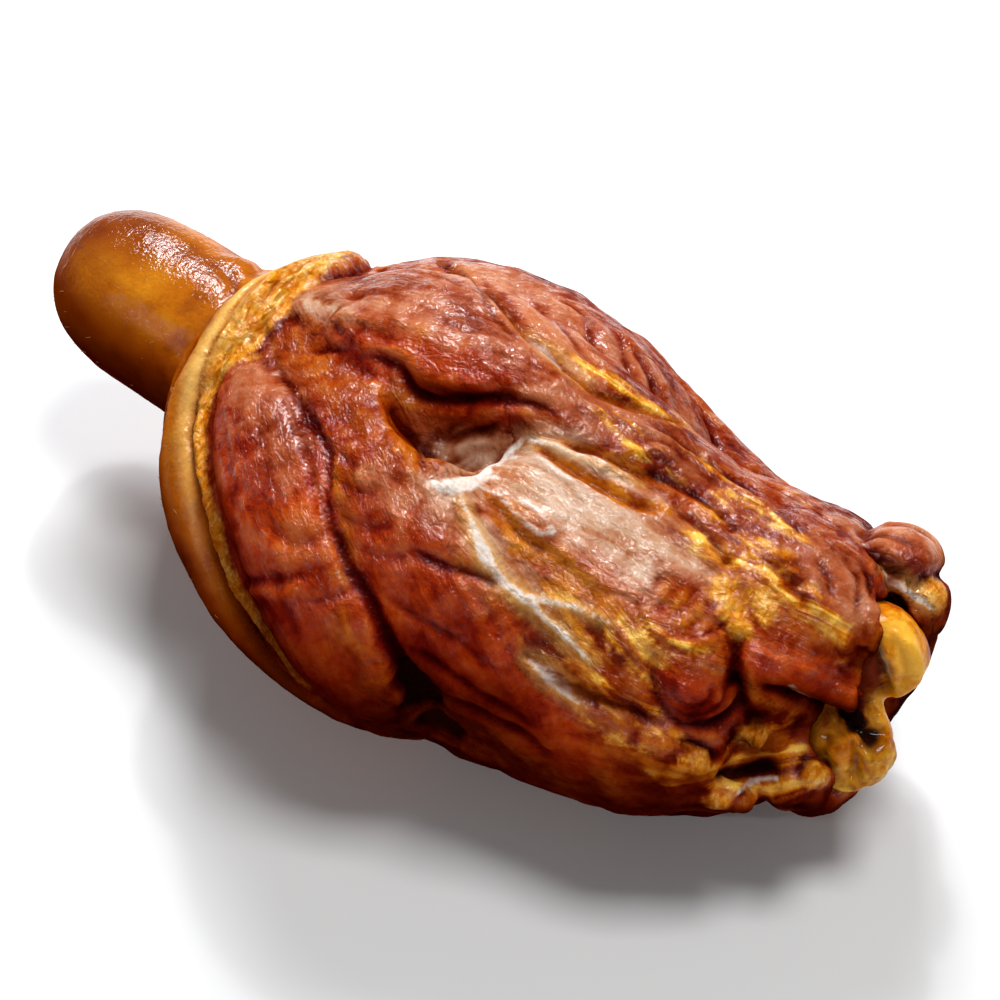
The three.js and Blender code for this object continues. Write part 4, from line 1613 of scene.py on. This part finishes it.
# %% Painted shade on the sides, below, in low places and in the folds
SIDE_SHADE_TINT = (0.92, 0.60, 0.36, 1)
SHADE_BELOW_TINT = (0.13, 0.03, 0.03, 1)
VALLEY_SHADE_TINT = (0.60, 0.25, 0.12, 1)
HOLLOW_SHADE_TINT = (0.60, 0.38, 0.30, 1)
DUSK_TINT = (0.34, 0.12, 0.06, 1)
FOLD_SHADE_BLACK = (0.014, 0.002, 0.001, 1)
side_shade_share = blend(tree, (pale_mask, -0.7), (fat_mask, -0.35), (1.0, 1.0))
side_shade_share = maths(tree, "MAXIMUM", side_shade_share, 0.0)
side_shade_share = maths(tree, "MULTIPLY", field(tree, "side"), side_shade_share)
colour = tinted(tree, side_shade_share, colour, SIDE_SHADE_TINT)
colour = tinted(tree, field(tree, "soot"), colour, SHADE_BELOW_TINT)
spared = maths(tree, "MAXIMUM", maths(tree, "MAXIMUM", rind_mask, film_mask), fat_mask)
valley_shade_share = maths(
    tree, "MULTIPLY", field(tree, "valley"), between(tree, spared, 0, 1, 0.7, 0.35),
)
colour = tinted(tree, valley_shade_share, colour, VALLEY_SHADE_TINT)
colour = tinted(tree, field(tree, "hollow"), colour, HOLLOW_SHADE_TINT)
dusk_mask = ragged(tree, "dark", specks, 0.8, 1.6)
colour = darkened(tree, colour, dusk_mask, DUSK_TINT, FOLD_SHADE_BLACK, 0.72, 0.9)
tree.links.new(colour, shader.inputs["Base Color"])
print("nodes with all colours", len(tree.nodes))

# %% [markdown]
# ## Shine
# The juices dry to a thin wet coat. A low roughness all over would turn the piece to
# plastic, so the meat itself stays half rough, and a coat lies over it in patches: full
# on top, thin on the sides and nearly gone in folds and below.

# %% Its shine
DRIER = (("hollow", 0.2, 0.9, 0.5), ("valley", 0.3, 1.0, 0.3), ("soot", 0.1, 0.8, 0.1))
gloss = blend(tree, (mottle, 0.55), (specks, 0.45))
tree.links.new(between(tree, gloss, 0.34, 0.66, 0.34, 0.56), shader.inputs["Roughness"])
patchy = between(tree, mottle, 0.40, 0.56, 0.18, 1.0)
patchy = mix_value(tree, rind_mask, patchy, maths(tree, "MULTIPLY", field(tree, "up"), 0.9))
patchy = maths(tree, "MULTIPLY", patchy, between(tree, beige_mask, 0, 1, 1.0, 0.75))
wet = maths(tree, "MULTIPLY", patchy, blend(tree, (field(tree, "up"), 0.90), (1.0, 0.06)))
for name, start, end, coat_left in DRIER:
    wet = maths(
        tree, "MULTIPLY", wet, between(tree, field(tree, name), start, end, 1.0, coat_left),
    )
wet = maths(tree, "MULTIPLY", wet, between(tree, dusk_mask, 0.2, 1.0, 1.0, 0.1))
tree.links.new(wet, shader.inputs["Coat Weight"])
shader.inputs["Coat Roughness"].default_value = 0.065
shader.inputs["Specular IOR Level"].default_value = 0.0
print("nodes with shine", len(tree.nodes))

# %% [markdown]
# ## Small relief
# What is finer than the mesh is bump: fine wrinkles along the fibres, dimples and grit on
# the meat, and leathery wrinkles round the leg on the rind. It bends the light on the
# coat as well, so the glints break up into small sparks.

# %% Its small relief
BUMP_HEIGHT = 1.3 * MM
grit = noise(tree, place, 0.85, detail=2, roughness=0.5)
dimples = noise(tree, place, 3.2, detail=2, roughness=0.45, distortion=0.5)
meat_relief = blend(
    tree,
    (maths(tree, "MULTIPLY", crinkle, inside), 0.70),
    (dimples, 0.60),
    (specks, 0.16),
    (grit, 0.17),
    (mottle, 0.4),
)
meat_relief = maths(
    tree, "MULTIPLY", meat_relief, between(tree, field(tree, "film"), 0.42, 0.58, 1.0, 0.7),
)
meat_relief = maths(
    tree, "MULTIPLY", meat_relief, between(tree, field(tree, "beige"), 0.40, 0.60, 1.0, 0.6),
)
round_wrinkles = stretch(tree, place, (1.0, 0.35, 0.35))
round_wrinkles = noise(tree, round_wrinkles, 1.6, detail=2, roughness=0.5, distortion=0.6)
rind_relief = blend(tree, (grit, 0.12), (round_wrinkles, 0.22), (specks, 0.12), (mottle, 0.25))
height = mix_value(tree, rind_mask, meat_relief, rind_relief)
bump = add(tree, "ShaderNodeBump", {"Strength": 1.0, "Distance": BUMP_HEIGHT, "Height": height})
tree.links.new(bump.outputs[0], shader.inputs["Normal"])
tree.links.new(bump.outputs[0], shader.inputs["Coat Normal"])
meat.data.materials.append(smoked)
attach(meat, "root")
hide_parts("smoked_meat")
print("nodes in the material", len(tree.nodes))

# %% [markdown]
# ## The joint's bone
# At the end of the leg the bone's knuckle shows, covered in waxy orange gristle. It is a
# piece of its own in the CAD model, so it is rebuilt, smoothed and carved in the same way
# as the meat, from smaller squares, because its lobes are smaller.

# %% The bone's mesh
bone = merged_copy("joint_bone", "joint_gristle")
even_mesh(1.4 * MM, smoothings=6)
bpy.ops.object.shade_smooth()
print("bone faces", len(bone.data.polygons))

# %% [markdown]
# The upper knuckle is a flat amber lobe with a creamy edge on its left, which is partly a
# painted glint. Below it there is a black hole, then a bigger orange lobe with a crumbly
# yellow rim. The hole is three dents that run into each other, since one round dent would
# look drilled, and its black is painted shade.

# %% Carve the gristle
knuckle = Clay(bone.data, ("dark", "lean", "gold", "pale"))
KNUCKLE_FOLD = [(107, 3, 71), (111, 2, 66), (114, 2, 60), (116, 1, 55), (117, 0, 50)]
knuckle.press(KNUCKLE_FOLD, 1.5, 2.2, ends=0.1, dark=0.5)
# The pale mark is the creamy edge, partly a painted glint.
knuckle.paint("pale", [(109, 4, 70), (112.5, 4, 64), (115, 4.5, 58)], [0.0, 0.3, 0.0])
knuckle.paint("lean", [(105, -1, 69), (109, -2, 63), (112, -3, 56)], 5.0)
knuckle.paint("lean", [(108, 3, 68), (111.5, 1.5, 61), (113, 0, 54)], 3.0)
knuckle.press([(112, 9, 70), (117, 8, 63), (119, 7, 55), (118, 4, 48)], 1.6, -1.2, ends=0.2)
knuckle.press([(113, 6, 69), (117, 5.5, 61), (118, 4, 53)], 1.4, 1.2, ends=0.2)
# The dark marks in these dents are the hole's painted shade.
for place, size in (((111, -4, 57), 3.5), ((114, -4, 52), 4.5), ((117, -5, 48), 4.0)):
    knuckle.lump(place, size, -3.5, "dark")
knuckle.press([(114, -9, 50), (117, -11, 43), (118, -14, 36)], 1.4, 1.8, ends=0.15, dark=0.5)
knuckle.press([(109, -12, 52), (110, -16, 46), (112, -19, 40)], 1.4, 1.0, ends=0.2, dark=0.2)
for place in (
    (119, -6, 44), (121, -3, 40), (120, -8, 38), (118, -13, 33), (120, -4, 34), (117, -15, 29),
):
    knuckle.lump(place, 3.4, 1.2, "gold")
knuckle.paint("lean", [(105, -20, 46), (108, -20, 40), (109, -20, 34)], [2, 5, 3])
print(
    "gristle dents to",
    round(float(np.linalg.norm(knuckle.skin - knuckle.body, axis=1).max()), 1), "mm",
)

# %% Make the gristle uneven
knuckle.outward = normals_of(knuckle.skin, knuckle.quads)
uneven = 0.55 * lumps(knuckle.body, 9, 31) + 0.30 * lumps(knuckle.body, 4, 32)
uneven += 0.12 * lumps(knuckle.body, 2, 33)
knuckle.skin += knuckle.outward * uneven[:, None]
knuckle.skin = relax(knuckle.skin, knuckle.quads, 0.3, 1)
knuckle.write()
print("gristle carved", len(knuckle.skin), "points")

# %% [markdown]
# ## The gristle's material
# Gristle is waxy: light sinks in a little before it comes back, and its shine is broad.
# Cloudy amber is the ground. The marks lay gold crumbs, bare lean and the creamy edge,
# partly a painted glint, over it, and the painted shade of the holes comes last, with the
# same group as the meat's.

# %% The gristle's material
HOLE_SHADE_TINT = (0.22, 0.08, 0.06, 1)
HOLE_SHADE_BLACK = (0.006, 0.002, 0.001, 1)
BARE_LEAN = (0.16, 0.016, 0.004, 1)
CREAMY_EDGE_AND_GLINT = (0.78, 0.60, 0.36, 1)
gristle = bpy.data.materials.new("waxy_gristle")
gristle.use_nodes = True
tree = gristle.node_tree
shader = tree.nodes["Principled BSDF"]
place = add(tree, "ShaderNodeTexCoord").outputs["Object"]
cloud = noise(tree, place, 9, detail=4, roughness=0.55, distortion=0.8)
fine = noise(tree, place, 2.2, detail=4)
colour = colours(tree, cloud, [
    (0.36, (0.360, 0.060, 0.001)),
    (0.50, (0.660, 0.215, 0.004)),
    (0.64, (0.880, 0.430, 0.040)),
])
colour = mix(tree, ragged(tree, "gold", fine, 2, 2), colour, colours(tree, fine, [
    (0.36, (0.360, 0.085, 0.001)),
    (0.64, (0.780, 0.390, 0.018)),
]))
lean_mask = ragged(tree, "lean", fine, 2, 2.5)
colour = mix(tree, lean_mask, colour, BARE_LEAN)
colour = mix(tree, ragged(tree, "pale", fine, 0.6, 1.2), colour, CREAMY_EDGE_AND_GLINT)
dusk_mask = ragged(tree, "dark", fine, 1.5, 2)
colour = darkened(tree, colour, dusk_mask, HOLE_SHADE_TINT, HOLE_SHADE_BLACK, 0.78, 0.95)
tree.links.new(colour, shader.inputs["Base Color"])
tree.links.new(between(tree, fine, 0.3, 0.7, 0.24, 0.42), shader.inputs["Roughness"])
relief = blend(tree, (fine, 1.0), (cloud, 1.2))
bump = add(tree, "ShaderNodeBump", {"Strength": 0.6, "Distance": 0.8 * MM, "Height": relief})
tree.links.new(bump.outputs[0], shader.inputs["Normal"])
shader.inputs["Specular IOR Level"].default_value = 0.0
shader.inputs["Subsurface Weight"].default_value = 0.12
shader.inputs["Subsurface Radius"].default_value = (1.0, 0.40, 0.10)
shader.inputs["Subsurface Scale"].default_value = 3 * MM
tree.links.new(between(tree, lean_mask, 0, 1, 0.3, 0.03), shader.inputs["Coat Weight"])
shader.inputs["Coat Roughness"].default_value = 0.12
bone.data.materials.append(gristle)
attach(bone, "root")
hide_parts("joint_bone")
print("nodes in the gristle's material", len(tree.nodes))

# %% [markdown]
# ## Bristles
# Singeing leaves a few short pale bristles in the skin, which lean towards the shank's
# end. Hair particles would be quick to set up, but the export drops them, so each bristle
# is a three-sided spike that curves over as it thins. All of them are one mesh.

# %% Plant the bristles
BRISTLES = 160
SHORTEST, LONGEST = 0.6, 2.2
CORNER_TURNS = (0, 2.1, 4.2)
rng = np.random.default_rng(5)
well_inside = marks["rind"][clay.quads].min(axis=1) > 0.9
in_the_open = clay.outward[clay.quads[:, 0]][:, 2] > -0.5
on_skin = well_inside & in_the_open
points, faces = [], []
for face in rng.choice(np.flatnonzero(on_skin), BRISTLES, replace=False):
    root = clay.skin[clay.quads[face]].mean(axis=0)
    out = clay.outward[clay.quads[face, 0]]
    lean = np.array((-1, 0, 0)) + rng.normal(0, 0.6, 3)
    lean -= out * (lean @ out)
    lean /= np.linalg.norm(lean)
    sideways = np.cross(out, lean)
    length = rng.uniform(SHORTEST, LONGEST)
    first_point = len(points)
    for t, radius in ((-0.1, 0.09), (0.3, 0.08), (0.7, 0.055)):
        centre = root + length * (0.8 * t * lean + (0.6 * t - 0.3 * t * t) * out)
        for turn in CORNER_TURNS:
            points.append(centre + radius * (math.cos(turn) * out + math.sin(turn) * sideways))
    points.append(root + length * (0.8 * lean + 0.3 * out))
    faces.append([first_point, first_point + 1, first_point + 2])
    for ring in (0, 3):
        for corner in range(3):
            here, after_it = first_point + ring + corner, first_point + ring + (corner + 1) % 3
            faces.append([after_it, here, here + 3, after_it + 3])
    for corner in range(3):
        next_corner = first_point + 6 + (corner + 1) % 3
        faces.append([next_corner, first_point + 6 + corner, first_point + 9])
print("corners", len(points), "faces", len(faces))

# %% Make them one piece
bristle_mesh = bpy.data.meshes.new("skin_bristles")
bristle_mesh.from_pydata([list(point * MM) for point in points], [], faces)
bristles = bpy.data.objects.new("skin_bristles", bristle_mesh)
bpy.context.scene.collection.objects.link(bristles)
straw = bpy.data.materials.new("pale_bristle")
straw.use_nodes = True
straw_shader = straw.node_tree.nodes["Principled BSDF"]
straw_shader.inputs["Base Color"].default_value = (0.42, 0.20, 0.065, 1)
straw_shader.inputs["Roughness"].default_value = 0.6
straw_shader.inputs["Specular IOR Level"].default_value = 0.2
bristle_mesh.materials.append(straw)
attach(bristles, "root")
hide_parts("smoked_meat")
check = bmesh.new()
check.from_mesh(bristle_mesh)
print("bristles", BRISTLES, "volume above 0:", check.calc_volume(signed=True) > 0)
check.free()

# %% [markdown]
# ## The size
# Carving mustn't change how big the knuckle is.
